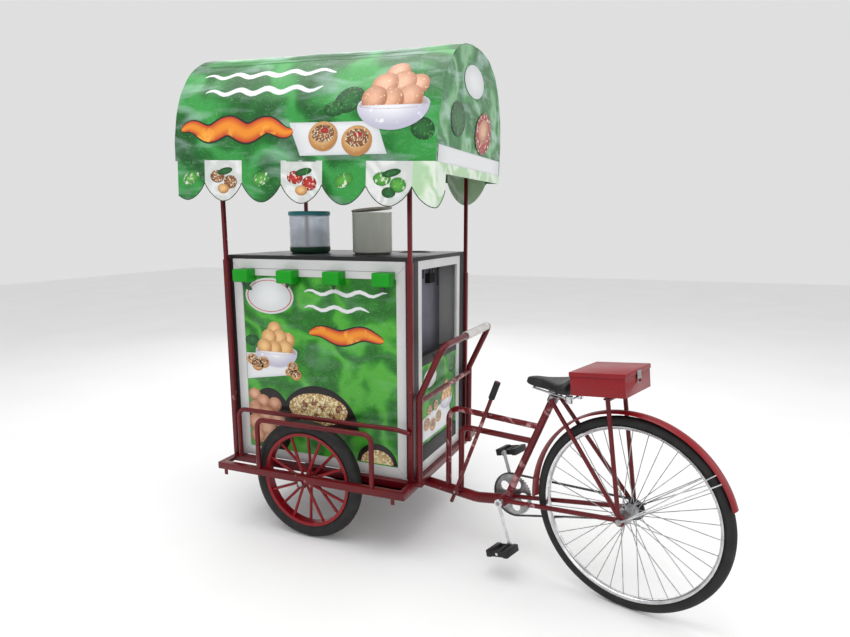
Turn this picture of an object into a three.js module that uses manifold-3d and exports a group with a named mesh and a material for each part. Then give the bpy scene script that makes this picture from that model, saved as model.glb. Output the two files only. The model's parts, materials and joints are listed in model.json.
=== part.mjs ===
// Pedal vending cart: a two-wheeled front platform that carries a counter cabinet and a barrel canopy,
// joined by a vertical king pin to the rear half of a bicycle. Millimetres, +Z up, +X towards the bicycle.
import * as THREE from 'three';
import { mergeVertices } from 'three/addons/utils/BufferGeometryUtils.js';
import Module from 'manifold-3d';

const wasm = await Module();
wasm.setup();

// ---------------------------------------------------------------- driving dimensions
const GAP = 0.3;
const DEG = Math.PI / 180;
const STEER = 16.66 * DEG; // how far the bicycle half is turned at rest

const CABINET = { front: -410, rear: 500, half: 314, floor: 301, top: 1216.7 };
const REAR_OPENING = { half: 213, bottom: 345, top: 1180, crossRail: [770, 812], kick: [345.3, 413.7] };
const SLAB = { thickness: 16, top: 1233.3 };
const POST = { front: -402, rear: 500, y: 331, size: 22, thin: 16, topNear: 1213, topFar: 1130 };
const RAIL = { front: -412, rear: 522, outerY: 455, size: 30, wall: 4, top: 300 };
const CANOPY = { rear: 638.6, z: 1586, length: 1228, half: 404, height: 479, power: 2.51, skin: 4, tilt: 2.55 * DEG };
const VALANCE = { pitch: 195, cusp: 85, drop: 163, farDrop: 140, band: 35, sheet: 3, wrap: 103 };
const FRONT_WHEEL = { x: 31, y: 393, radius: 266, section: 29.4, rim: 212, spokes: 16 };
const HANDLE = { x: 530, y: 314, shoulder: 665, barX: 633, barZ: 885, radius: 13.5, crossZ: 645 };
const REAR_WHEEL = { x: 1433.6, z: 355, radius: 355, section: 19, rim: 319, spokes: 24 };
const BRACKET = { x: 933, z: 272 }; // bottom bracket
const CRANK = { length: 170, angle: -70.7 * DEG, nearY: -63, farY: 63, ringY: 50, ring: 84 };
const CHAIN = { y: 50, width: 6, thickness: 7 };
const SPROCKET = 32;
const SEAT_TOP = { x: 1130, z: 735 };
const BOX = { x: 1250, z: 773, length: 196, half: 109, height: 84, wall: 2.5, tilt: -6 * DEG };
const MUDGUARD = { radius: 374, half: 25, sheet: 2, from: 18 * DEG, to: 186 * DEG, offset: -6 };
const BRAKE = { x: 702, z: 250, y: -37, topX: 903, topZ: 758, footX: 682, footZ: 200 };
const JARS = [
  { name: 'jar_1', x: -151, y: -30, radius: 94, height: 186, lidTilt: 0 },
  { name: 'jar_2', x: 180, y: -30, radius: 90, height: 184, lidTilt: -5 * DEG },
];
const TAP = { width: 78, depth: 60, height: 54, bottom: 1120, first: -299, pitch: 229 };
const POTS = [{ name: 'water_pot_front', x: -290 }, { name: 'water_pot_rear', x: 300 }];
const POT = { y: 180, radius: 72, depth: 190, wall: 3 };

// ---------------------------------------------------------------- finishes
const finish = (color, roughness, metalness) => new THREE.MeshStandardMaterial({ color, roughness, metalness });
const RED = finish(0x7d1016, 0.4, 0.1);
const BLACK = finish(0x151515, 0.5, 0.0);
const WHITE = finish(0xdedede, 0.4, 0.0);
const GREEN = finish(0x1f7d34, 0.35, 0.0);
const BRIGHT_GREEN = finish(0x0a9b1c, 0.4, 0.0);
const RUBBER = finish(0x171717, 0.8, 0.0);
const CHROME = finish(0xc4c6c8, 0.2, 1.0);
const STEEL = finish(0x8b8d90, 0.4, 0.9);
const GREY = finish(0x6c6a70, 0.5, 0.0);
const CLEAR = finish(0xb6bccb, 0.15, 0.0);
const TEAL = finish(0x1c6a6e, 0.4, 0.0);
const FOAM = finish(0xd8d6d2, 0.6, 0.0);

// ---------------------------------------------------------------- solids and how they are joined
const point = (x, y, z) => new THREE.Vector3(x, y, z);

function solid(geometry) {
  const bare = geometry.index ? geometry.toNonIndexed() : geometry.clone();
  bare.deleteAttribute('normal');
  bare.deleteAttribute('uv');
  const merged = mergeVertices(bare, 1e-4);
  return new wasm.Manifold(new wasm.Mesh({
    numProp: 3,
    vertProperties: new Float32Array(merged.attributes.position.array),
    triVerts: new Uint32Array(merged.index.array),
  }));
}

function geometryOf(manifold) {
  const mesh = manifold.getMesh();
  const geometry = new THREE.BufferGeometry();
  geometry.setAttribute('position', new THREE.BufferAttribute(new Float32Array(mesh.vertProperties), 3));
  geometry.setIndex(new THREE.BufferAttribute(new Uint32Array(mesh.triVerts), 1));
  const flat = geometry.toNonIndexed();
  flat.computeVertexNormals();
  return flat;
}

const union = (list) => list.reduce((whole, next) => whole.add(next));
const cut = (body, list) => list.reduce((whole, next) => whole.subtract(next), body);

function add(parent, name, shape, material) {
  const mesh = new THREE.Mesh(shape.isBufferGeometry ? shape : geometryOf(shape), material);
  mesh.name = name;
  parent.add(mesh);
}

// A block between two corners.
function block(x0, x1, y0, y1, z0, z1) {
  const geometry = new THREE.BoxGeometry(x1 - x0, y1 - y0, z1 - z0);
  geometry.translate((x0 + x1) / 2, (y0 + y1) / 2, (z0 + z1) / 2);
  return solid(geometry);
}

// A round bar between two points.
function rod(from, to, radius, sides = 10) {
  const along = to.clone().sub(from);
  const geometry = new THREE.CylinderGeometry(radius, radius, along.length(), sides);
  const turn = new THREE.Quaternion().setFromUnitVectors(point(0, 1, 0), along.clone().normalize());
  geometry.applyQuaternion(turn);
  const middle = from.clone().add(to).multiplyScalar(0.5);
  geometry.translate(middle.x, middle.y, middle.z);
  return solid(geometry);
}

// A turned part: the profile is pairs of radius and height, and the axis is set by `axis` through `centre`.
function turned(profile, centre, axis, segments = 32) {
  const geometry = new THREE.LatheGeometry(profile.map(([r, h]) => new THREE.Vector2(r, h)), segments);
  geometry.applyQuaternion(new THREE.Quaternion().setFromUnitVectors(point(0, 1, 0), axis));
  geometry.translate(centre.x, centre.y, centre.z);
  return solid(geometry);
}

// A path through fixed knots, so that a swept tube has its rings only where it bends.
class KnotCurve extends THREE.Curve {
  constructor(knots) {
    super();
    this.knots = knots;
  }

  getPointAt(u) {
    const last = this.knots.length - 1;
    const i = Math.min(Math.floor(u * last + 1e-6), last - 1);
    return this.knots[i].clone().lerp(this.knots[i + 1], u * last - i);
  }

  getTangentAt(u) {
    const last = this.knots.length - 1;
    const i = Math.round(u * last);
    const before = this.knots[Math.max(i - 1, 0)];
    const here = this.knots[i];
    const after = this.knots[Math.min(i + 1, last)];
    const sum = point(0, 0, 0);
    if (i > 0) sum.add(here.clone().sub(before).normalize());
    if (i < last) sum.add(after.clone().sub(here).normalize());
    return sum.normalize();
  }
}

// Corner points with every inner corner rounded to a bend radius.
function bent(corners, radius, steps = 4) {
  const knots = [corners[0]];
  for (let i = 1; i < corners.length - 1; i += 1) {
    const before = corners[i - 1].clone().sub(corners[i]).normalize();
    const after = corners[i + 1].clone().sub(corners[i]).normalize();
    const half = Math.acos(before.dot(after)) / 2;
    const middle = before.clone().add(after).normalize();
    const centre = corners[i].clone().addScaledVector(middle, radius / Math.sin(half));
    const start = corners[i].clone().addScaledVector(before, radius / Math.tan(half)).sub(centre);
    const end = corners[i].clone().addScaledVector(after, radius / Math.tan(half)).sub(centre);
    const sweep = Math.PI - 2 * half;
    for (let k = 0; k <= steps; k += 1) {
      const t = k / steps;
      knots.push(start.clone().multiplyScalar(Math.sin((1 - t) * sweep) / Math.sin(sweep))
        .addScaledVector(end, Math.sin(t * sweep) / Math.sin(sweep)).add(centre));
    }
  }
  knots.push(corners[corners.length - 1]);
  return knots;
}

// A round tube swept along knots; `bore` leaves it hollow right through.
function tube(knots, radius, sides = 8, bore = 0) {
  const ring = (r) => Array.from({ length: sides }, (_, i) => {
    const a = (i / sides) * 2 * Math.PI;
    return new THREE.Vector2(r * Math.cos(a), r * Math.sin(a));
  });
  const shape = new THREE.Shape(ring(radius));
  if (bore > 0) shape.holes.push(new THREE.Path(ring(bore).reverse()));
  const geometry = new THREE.ExtrudeGeometry(shape, { steps: knots.length - 1, extrudePath: new KnotCurve(knots) });
  return solid(geometry);
}

// A flat plate: its outline is drawn on two axes and given a thickness along the third.
function plate(shape, thickness, curveSegments = 10) {
  return new THREE.ExtrudeGeometry(shape, { depth: thickness, bevelEnabled: false, curveSegments });
}

// An upright plate: outline in X and Z, thickness along Y from y0 to y1.
function uprightPlate(shape, y0, y1, curveSegments) {
  const geometry = plate(shape, y1 - y0, curveSegments);
  geometry.rotateX(Math.PI / 2);
  geometry.translate(0, y1, 0);
  return solid(geometry);
}

// Both sides of the cart: -1 is the near side, +1 the far side.
const SIDES = [{ side: -1, label: 'near' }, { side: 1, label: 'far' }];
const across = (side, a, b) => [Math.min(side * a, side * b), Math.max(side * a, side * b)];
const ALONG_Y = point(0, 1, 0);
const ALONG_Z = point(0, 0, 1);

const cart = new THREE.Group();

// ---------------------------------------------------------------- platform
const railBottom = RAIL.top - RAIL.size;
const axleZ = FRONT_WHEEL.radius;
const KING = { pin: 10, head: 24, clearance: 0.5, headTop: 258, sleeveBottom: 262, member: 35 };
const AXLE = { radius: 8, clearance: 0.5, outer: 462, inner: 330 };

function platformFrame() {
  const parts = [];
  for (const { side } of SIDES) {
    const inward = RAIL.outerY - RAIL.size;
    parts.push(block(RAIL.front, RAIL.rear, ...across(side, inward, RAIL.outerY), RAIL.top - RAIL.wall, RAIL.top));
    const web = across(side, RAIL.outerY - RAIL.wall, RAIL.outerY);
    parts.push(block(RAIL.front, RAIL.rear, ...web, railBottom, RAIL.top));
    const beam = across(side, POST.y - RAIL.size / 2, POST.y + RAIL.size / 2);
    parts.push(block(RAIL.front, RAIL.rear, ...beam, railBottom, RAIL.top));
    const bearingX = [FRONT_WHEEL.x - 20, FRONT_WHEEL.x + 20];
    parts.push(block(...bearingX, ...across(side, 338, 352), axleZ - 18, railBottom + 4));
    parts.push(block(...bearingX, ...across(side, 443, RAIL.outerY), axleZ - 18, railBottom + 4));
    for (const stub of [-378, 462]) {
      parts.push(block(stub, stub + 16, ...web, railBottom - 24, railBottom + 4));
    }
    const foot = across(side, HANDLE.y - 15, HANDLE.y + 15);
    parts.push(block(HANDLE.x - 15, HANDLE.x + 15, ...foot, RAIL.top - 18, RAIL.top));
  }
  for (const x of [RAIL.front, RAIL.rear - RAIL.size]) {
    const y = RAIL.outerY - 1;
    parts.push(block(x, x + RAIL.size, -y, y, RAIL.top - RAIL.wall, RAIL.top));
    const web = x === RAIL.front ? x : x + RAIL.size - RAIL.wall;
    parts.push(block(web, web + RAIL.wall, -y, y, railBottom, RAIL.top));
  }
  parts.push(block(-KING.member, KING.member, -POST.y, POST.y, railBottom + 2, RAIL.top));
  parts.push(rod(point(0, 0, KING.sleeveBottom), point(0, 0, RAIL.top), KING.pin * 2, 16));
  const kingBore = rod(point(0, 0, 200), point(0, 0, 400), KING.pin + KING.clearance, 16);
  const bore = AXLE.radius + AXLE.clearance;
  const axleBore = rod(point(FRONT_WHEEL.x, -600, axleZ), point(FRONT_WHEEL.x, 600, axleZ), bore, 16);
  return cut(union(parts), [kingBore, axleBore]);
}
add(cart, 'platform_frame', platformFrame(), RED);

for (const { side, label } of SIDES) {
  const guard = { radius: 11, outerY: RAIL.outerY - 12, innerY: POST.y + POST.size / 2 + 10.5, bend: 35 };
  const outer = [[-193, RAIL.top + GAP], [-193, 524], [371, 524], [371, RAIL.top + GAP]];
  const outerKnots = bent(outer.map(([x, z]) => point(x, side * guard.outerY, z)), guard.bend);
  add(cart, `guard_outer_${label}`, tube(outerKnots, guard.radius), RED);
  const inner = [[-361, RAIL.top + GAP], [-361, 530], [440, 530], [506, 519]];
  const innerKnots = bent(inner.map(([x, z]) => point(x, side * guard.innerY, z)), guard.bend);
  add(cart, `guard_inner_${label}`, tube(innerKnots, guard.radius - 1), RED);
  const [y0, y1] = across(side, AXLE.inner, AXLE.outer);
  const axle = rod(point(FRONT_WHEEL.x, y0, axleZ), point(FRONT_WHEEL.x, y1, axleZ), AXLE.radius, 16);
  add(cart, `axle_${label}`, axle, STEEL);
}

// ---------------------------------------------------------------- front wheels
function frontRim() {
  const rimHalf = 22;
  const ring = [[FRONT_WHEEL.rim - 14, -rimHalf], [FRONT_WHEEL.rim - GAP, -rimHalf],
    [FRONT_WHEEL.rim - GAP, rimHalf], [FRONT_WHEEL.rim - 14, rimHalf], [FRONT_WHEEL.rim - 14, -rimHalf]];
  const bore = AXLE.radius + AXLE.clearance;
  const hub = [[bore, -34], [24, -34], [24, 34], [bore, 34], [bore, -34]];
  const parts = [turned(ring, point(0, 0, 0), ALONG_Y, 36), turned(hub, point(0, 0, 0), ALONG_Y, 16)];
  for (let i = 0; i < FRONT_WHEEL.spokes; i += 1) {
    const a = (i / FRONT_WHEEL.spokes) * 2 * Math.PI;
    const plane = i % 2 === 0 ? 1 : -1;
    const from = point(15 * Math.cos(a), 24 * plane, 15 * Math.sin(a));
    const reach = FRONT_WHEEL.rim - 8;
    parts.push(rod(from, point(reach * Math.cos(a), 9 * plane, reach * Math.sin(a)), 6.5, 5));
  }
  return union(parts);
}

function frontTyre() {
  const centre = FRONT_WHEEL.radius - FRONT_WHEEL.section;
  const profile = [[FRONT_WHEEL.rim, -23]];
  for (let a = -120; a <= 120; a += 30) {
    const r = centre + FRONT_WHEEL.section * Math.cos(a * DEG);
    profile.push([Math.max(r, FRONT_WHEEL.rim), FRONT_WHEEL.section * Math.sin(a * DEG)]);
  }
  profile.push([FRONT_WHEEL.rim, 23], [FRONT_WHEEL.rim, -23]);
  return turned(profile, point(0, 0, 0), ALONG_Y, 36);
}

for (const { side, label } of SIDES) {
  const wheel = new THREE.Group();
  wheel.position.set(FRONT_WHEEL.x, side * FRONT_WHEEL.y, FRONT_WHEEL.radius);
  add(wheel, `front_rim_${label}`, frontRim(), RED);
  add(wheel, `front_tyre_${label}`, frontTyre(), RUBBER);
  cart.add(wheel);
}

// ---------------------------------------------------------------- cabinet
const C = CABINET;
const CORNER = { x: 28, y: 64 };
const FACE = 14; // thickness of the white frames
const RAIL_IN = 26; // depth of the black rails behind them

function cabinetFrame() {
  const parts = [];
  const postX = [[C.front, C.front + CORNER.x + 2], [C.rear - CORNER.x, C.rear]];
  for (const { side } of SIDES) {
    for (const [x0, x1] of postX) {
      parts.push(block(x0, x1, ...across(side, C.half - CORNER.y, C.half), C.floor, C.top));
    }
    const rail = across(side, C.half - FACE - GAP - RAIL_IN, C.half - FACE - GAP);
    parts.push(block(C.front + 20, C.rear - 20, ...rail, C.top - 26, C.top));
    parts.push(block(C.front + 20, C.rear - 20, ...rail, C.floor, C.floor + 30));
  }
  const y = C.half - CORNER.y + 2;
  const inFront = [C.front + FACE + GAP, C.front + FACE + RAIL_IN];
  const inRear = [C.rear - FACE - RAIL_IN, C.rear - FACE - GAP];
  for (const [x0, x1] of [inFront, inRear]) {
    parts.push(block(x0, x1, -y, y, C.top - 26, C.top));
    parts.push(block(x0, x1, -y, y, C.floor, C.floor + 30));
  }
  const inner = REAR_OPENING.half - GAP;
  for (const [z0, z1] of [REAR_OPENING.crossRail, REAR_OPENING.kick]) {
    parts.push(block(inRear[0], inRear[1], -y, y, z0, z1));
    parts.push(block(inRear[0], C.rear - 3, -inner, inner, z0, z1));
  }
  const inside = C.half - FACE - 2;
  parts.push(block(C.front + 16, C.rear - 16, -inside, inside, C.floor, C.floor + 3));
  const kingHole = rod(point(0, 0, C.floor - 10), point(0, 0, C.floor + 10), KING.head + 6, 16);
  return cut(union(parts), [kingHole]);
}
add(cart, 'cabinet_frame', cabinetFrame(), BLACK);

const WIDE = { x0: C.front + CORNER.x + 2 + GAP, x1: C.rear - CORNER.x - GAP, z0: C.floor, z1: C.top };
const WINDOW = { x0: -334, x1: 430, z0: 346, z1: 1144 };
const wideFace = block(WIDE.x0, WIDE.x1, -C.half, -C.half + FACE, WIDE.z0, WIDE.z1);
const window = block(WINDOW.x0, WINDOW.x1, -C.half - 5, -C.half + FACE + 5, WINDOW.z0, WINDOW.z1);
add(cart, 'near_frame', wideFace.subtract(window), WHITE);
const bannerX = [WINDOW.x0 + GAP, WINDOW.x1 - GAP];
add(cart, 'near_banner', block(...bannerX, -C.half + 3, -C.half + 8, WINDOW.z0 + GAP, WINDOW.z1 - GAP), GREEN);
add(cart, 'far_panel', block(WIDE.x0, WIDE.x1, C.half - FACE, C.half, WIDE.z0, WIDE.z1), WHITE);

const narrowHalf = C.half - CORNER.y - GAP;
add(cart, 'front_panel', block(C.front, C.front + FACE, -narrowHalf, narrowHalf, C.floor, C.top), WHITE);
const rearFace = block(C.rear - FACE, C.rear, -narrowHalf, narrowHalf, C.floor, C.top);
const rearWindow = block(C.rear - FACE - 5, C.rear + 5, -REAR_OPENING.half, REAR_OPENING.half,
  REAR_OPENING.bottom, REAR_OPENING.top);
add(cart, 'rear_frame_white', rearFace.subtract(rearWindow), WHITE);
const bannerHalf = REAR_OPENING.half - GAP;
const bannerZ = [REAR_OPENING.kick[1] + GAP, REAR_OPENING.crossRail[0] - GAP];
add(cart, 'rear_banner', block(C.rear - 11, C.rear - 6, -bannerHalf, bannerHalf, ...bannerZ), GREEN);

const PARTITION = 385;
add(cart, 'compartment_back', block(PARTITION - 2, PARTITION + 2, -270, 270, C.floor + 31, C.top - 27), GREY);
const pump = union([
  block(PARTITION + 2 + GAP, PARTITION + 26, 92, 152, 1096, 1140),
  tube(bent([point(PARTITION + 14, 120, 1130), point(PARTITION + 14, 120, 1165),
    point(PARTITION + 14, 40, 1165), point(PARTITION + 14, 40, 1120)], 16, 3), 3, 6),
  tube(bent([point(PARTITION + 18, 140, 1130), point(PARTITION + 18, 140, 1172),
    point(PARTITION + 18, 205, 1172), point(PARTITION + 18, 205, 1080)], 18, 3), 3, 6),
]);
add(cart, 'pump_and_leads', pump, BLACK);

const lock = rod(point(C.rear - 3 + GAP, -57, 791), point(C.rear + 10, -57, 791), 11, 12)
  .add(block(C.rear + 6, C.rear + 16, -60, -54, 781, 801));
add(cart, 'lock_knob', lock, STEEL);

// ---------------------------------------------------------------- counter, pots, taps and their feed pipe
const slabBlock = block(C.front - 2, C.rear, -C.half, C.half, SLAB.top - SLAB.thickness, SLAB.top);
const potHole = (x, r) => rod(point(x, POT.y, SLAB.top - 40), point(x, POT.y, SLAB.top + 40), r, 20);
add(cart, 'counter_top', cut(slabBlock, POTS.map(({ x }) => potHole(x, POT.radius + 1))), BLACK);

const potFloor = SLAB.top + GAP - POT.depth;
for (const { name, x } of POTS) {
  const rimTop = SLAB.top + GAP + POT.wall;
  const r = POT.radius;
  const profile = [[0, potFloor], [r - 8, potFloor], [r, potFloor + 8], [r, SLAB.top + GAP],
    [r + 8, SLAB.top + GAP], [r + 8, rimTop], [r - POT.wall, rimTop], [r - POT.wall, potFloor + 10],
    [r - 10, potFloor + POT.wall], [0, potFloor + POT.wall]];
  add(cart, name, turned(profile, point(x, POT.y, 0), ALONG_Z, 20), STEEL);
}

const tapX = (i) => TAP.first + i * TAP.pitch;
for (let i = 0; i < 4; i += 1) {
  const x = tapX(i);
  const y = -C.half - GAP;
  const cover = new THREE.Shape();
  cover.moveTo(y, TAP.bottom);
  cover.lineTo(y, TAP.bottom + TAP.height);
  cover.lineTo(y - TAP.depth + 6, TAP.bottom + TAP.height);
  cover.lineTo(y - TAP.depth, TAP.bottom + TAP.height - 6);
  cover.lineTo(y - TAP.depth, TAP.bottom + 6);
  cover.quadraticCurveTo(y - TAP.depth, TAP.bottom - 4, y - TAP.depth + 22, TAP.bottom - 4);
  const geometry = plate(cover, TAP.width, 4);
  geometry.applyMatrix4(new THREE.Matrix4().makeBasis(ALONG_Y, ALONG_Z, point(1, 0, 0)));
  geometry.translate(x - TAP.width / 2, 0, 0);
  const nozzle = rod(point(x, y - 34, TAP.bottom - 16), point(x, y - 34, TAP.bottom + 8), 6, 10);
  add(cart, `tap_cover_${i + 1}`, solid(geometry).add(nozzle), BRIGHT_GREEN);
}

function feedPipe() {
  const radius = 6;
  const header = { y: -255, z: potFloor - 34 };
  const riserX = (i) => Math.min(tapX(i), PARTITION - 16);
  const parts = [rod(point(tapX(0), header.y, header.z), point(riserX(3), header.y, header.z), radius, 8)];
  for (let i = 0; i < 4; i += 1) {
    const corners = [point(riserX(i), header.y, header.z), point(riserX(i), header.y, TAP.bottom + 10),
      point(riserX(i), -C.half + FACE + RAIL_IN + 6, TAP.bottom + 10)];
    parts.push(rod(corners[0], corners[1], radius, 8), rod(corners[1], corners[2], radius - 1, 8));
  }
  for (const { x } of POTS) {
    parts.push(rod(point(x, POT.y, potFloor - GAP), point(x, POT.y, header.z - 2), radius, 8));
    parts.push(rod(point(x, POT.y + 4, header.z), point(x, header.y, header.z), radius, 8));
  }
  return union(parts);
}
add(cart, 'feed_pipe', feedPipe(), GREY);

// ---------------------------------------------------------------- jars on the counter
for (const { name, x, y, radius, height, lidTilt } of JARS) {
  const base = SLAB.top + GAP;
  const wall = 3;
  const profile = [[0, 0], [radius - 12, 0], [radius, 14], [radius, height], [radius - wall, height],
    [radius - wall, 16], [radius - 14, wall], [0, wall]];
  add(cart, `${name}_body`, turned(profile, point(x, y, base), ALONG_Z, 24), CLEAR);
  const lid = new THREE.Group();
  const lip = radius + 3;
  const skirt = lidTilt === 0 ? 14 : 0;
  const cap = [[0, 0], [radius + GAP, 0], [radius + GAP, -skirt], [lip, -skirt], [lip, 3], [lip - 3, 6], [0, 6]];
  const flat = [[0, 0], [lip - 2, 0], [lip, 4], [lip - 3, 8], [0, 8]];
  add(lid, `${name}_lid`, turned(skirt ? cap : flat, point(0, 0, GAP), ALONG_Z, 24), TEAL);
  lid.position.set(x, y, base + height + Math.sin(Math.abs(lidTilt)) * lip);
  lid.rotation.y = lidTilt;
  cart.add(lid);
}

// ---------------------------------------------------------------- handle frame
const upright = (side) => [point(HANDLE.x, side * HANDLE.y, RAIL.top + GAP),
  point(HANDLE.x, side * HANDLE.y, HANDLE.shoulder), point(HANDLE.barX, side * HANDLE.y, HANDLE.barZ)];
const handleCorners = [...upright(-1), ...upright(1).reverse()];
const handleKnots = bent(handleCorners, 45, 5);
const crossBar = rod(point(HANDLE.x, -HANDLE.y, HANDLE.crossZ), point(HANDLE.x, HANDLE.y, HANDLE.crossZ), 11, 10);
add(cart, 'handle_frame', tube(handleKnots, HANDLE.radius, 10).add(crossBar), RED);
const sleeveEnd = HANDLE.y - 60;
const sleeve = tube([point(HANDLE.barX, -40, HANDLE.barZ), point(HANDLE.barX, sleeveEnd, HANDLE.barZ)],
  HANDLE.radius + 6, 10, HANDLE.radius + 1.2);
add(cart, 'handle_sleeve', sleeve, FOAM);

// ---------------------------------------------------------------- canopy, tilted a little nose-up
const canopy = new THREE.Group();
canopy.position.set(CANOPY.rear, 0, CANOPY.z);
canopy.rotation.y = CANOPY.tilt;
cart.add(canopy);

function archPoint(angle, half, height) {
  const c = -Math.cos(angle);
  const s = Math.sin(angle);
  const power = 2 / CANOPY.power;
  return [half * Math.sign(c) * Math.abs(c) ** power, height * Math.abs(s) ** power];
}

function archSolid(half, height, x0, x1, floor) {
  const steps = 28;
  const shape = new THREE.Shape();
  shape.moveTo(half, floor);
  for (let i = 0; i <= steps; i += 1) {
    const [y, z] = archPoint(Math.PI * (1 - i / steps), half, height);
    shape.lineTo(y, Math.max(z, 0));
  }
  shape.lineTo(-half, floor);
  const geometry = plate(shape, x1 - x0);
  geometry.applyMatrix4(new THREE.Matrix4().makeBasis(ALONG_Y, ALONG_Z, point(1, 0, 0)));
  geometry.translate(x0, 0, 0);
  return solid(geometry);
}

function canopySkin() {
  const t = CANOPY.skin;
  const outside = archSolid(CANOPY.half, CANOPY.height, -CANOPY.length, 0, -0.001);
  const inside = archSolid(CANOPY.half - t, CANOPY.height - t, -CANOPY.length + t, -t, -50);
  return outside.subtract(inside);
}
add(canopy, 'canopy_skin', canopySkin(), GREEN);

const FRAME_TUBE = 8;
const frameInset = CANOPY.skin + FRAME_TUBE + 1;
function canopyFrame() {
  const half = CANOPY.half - frameInset;
  const height = CANOPY.height - frameInset;
  const ends = [-CANOPY.length + frameInset, -frameInset];
  const railZ = FRAME_TUBE + 1;
  const parts = [];
  for (const x of [ends[0], (ends[0] + ends[1]) / 2, ends[1]]) {
    const steps = 12;
    const knots = [];
    for (let i = 0; i <= steps; i += 1) {
      const [y, z] = archPoint((Math.PI * i) / steps, half, height);
      knots.push(point(x, y, Math.max(z, railZ)));
    }
    parts.push(tube(knots, FRAME_TUBE, 5));
  }
  for (const { side } of SIDES) {
    parts.push(rod(point(ends[0], side * half, railZ), point(ends[1], side * half, railZ), FRAME_TUBE, 6));
    const [y, z] = archPoint(Math.PI * 0.5 + side * 0.62, half, height);
    parts.push(rod(point(ends[0], y, z), point(ends[1], y, z), FRAME_TUBE - 2, 6));
  }
  parts.push(rod(point(ends[0], 0, height), point(ends[1], 0, height), FRAME_TUBE, 6));
  for (const x of [POST.front, POST.rear]) {
    const along = (x - CANOPY.rear) / Math.cos(CANOPY.tilt);
    const t = FRAME_TUBE;
    parts.push(block(along - t, along + t, -half, half, railZ - t, railZ + t));
  }
  for (const x of ends) {
    parts.push(rod(point(x, -half, railZ), point(x, half, railZ), FRAME_TUBE, 6));
  }
  return union(parts);
}
add(canopy, 'canopy_frame', canopyFrame(), RED);

// The scalloped strip is drawn flat, then folded round the rear corner.
function scallopedStrip(from, edges, drop) {
  const shape = new THREE.Shape();
  const last = edges[edges.length - 1];
  shape.moveTo(from, -GAP);
  shape.lineTo(from, -VALANCE.cusp);
  for (let i = 0; i < edges.length; i += 1) {
    const start = i === 0 ? from : edges[i - 1];
    const middle = (start + edges[i]) / 2;
    const depth = drop - VALANCE.cusp;
    shape.absellipse(middle, -VALANCE.cusp, (edges[i] - start) / 2, depth, Math.PI, 2 * Math.PI, false);
  }
  shape.lineTo(last, -GAP);
  return shape;
}

function valance() {
  const t = VALANCE.sheet;
  const half = CANOPY.half;
  const far = -half + t;
  const edges = [];
  for (let u = VALANCE.wrap - 6 * VALANCE.pitch; u <= VALANCE.wrap; u += VALANCE.pitch) edges.push(u);
  const nearStrip = uprightPlate(scallopedStrip(-1215, edges, VALANCE.drop), -half, far, 8);
  const sideHalf = block(-1500, 0, -half - 1, far + 1, -300, 300);
  const cornerHalf = block(0, 300, -half - 1, far + 1, -300, 300);
  const wrapped = nearStrip.intersect(cornerHalf).rotate([0, 0, 90]).translate([-half, -half, 0]);
  const rearBand = block(-t, 0, -half, half, -VALANCE.band, -GAP);
  const farEdge = -63;
  const farShape = scallopedStrip(farEdge - VALANCE.pitch, [farEdge], VALANCE.farDrop);
  const farScallop = uprightPlate(farShape, half - t, half, 8);
  const farBand = block(-1215, 0, half - t, half, -VALANCE.band, -GAP);
  return union([nearStrip.intersect(sideHalf), wrapped, rearBand, farScallop, farBand]);
}
add(canopy, 'canopy_valance', valance(), GREEN);

// Each post is a square tube with a thinner one standing out of it up to the canopy's cross bar.
for (const { side, label } of SIDES) {
  for (const [x, place] of [[POST.front, 'front'], [POST.rear, 'rear']]) {
    const square = (half, z0, z1) => block(x - half, x + half, ...across(side, POST.y - half, POST.y + half), z0, z1);
    const socketTop = side < 0 ? POST.topNear : POST.topFar;
    const top = CANOPY.z + (CANOPY.rear - x - POST.thin / 2) * Math.tan(CANOPY.tilt);
    const post = square(POST.size / 2, RAIL.top + GAP, socketTop).add(square(POST.thin / 2, socketTop - 5, top));
    add(cart, `post_${label}_${place}`, post, RED);
  }
}

// ---------------------------------------------------------------- the bicycle half, turned about the king pin
const bicycle = new THREE.Group();
bicycle.rotation.z = -STEER;
cart.add(bicycle);

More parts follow.
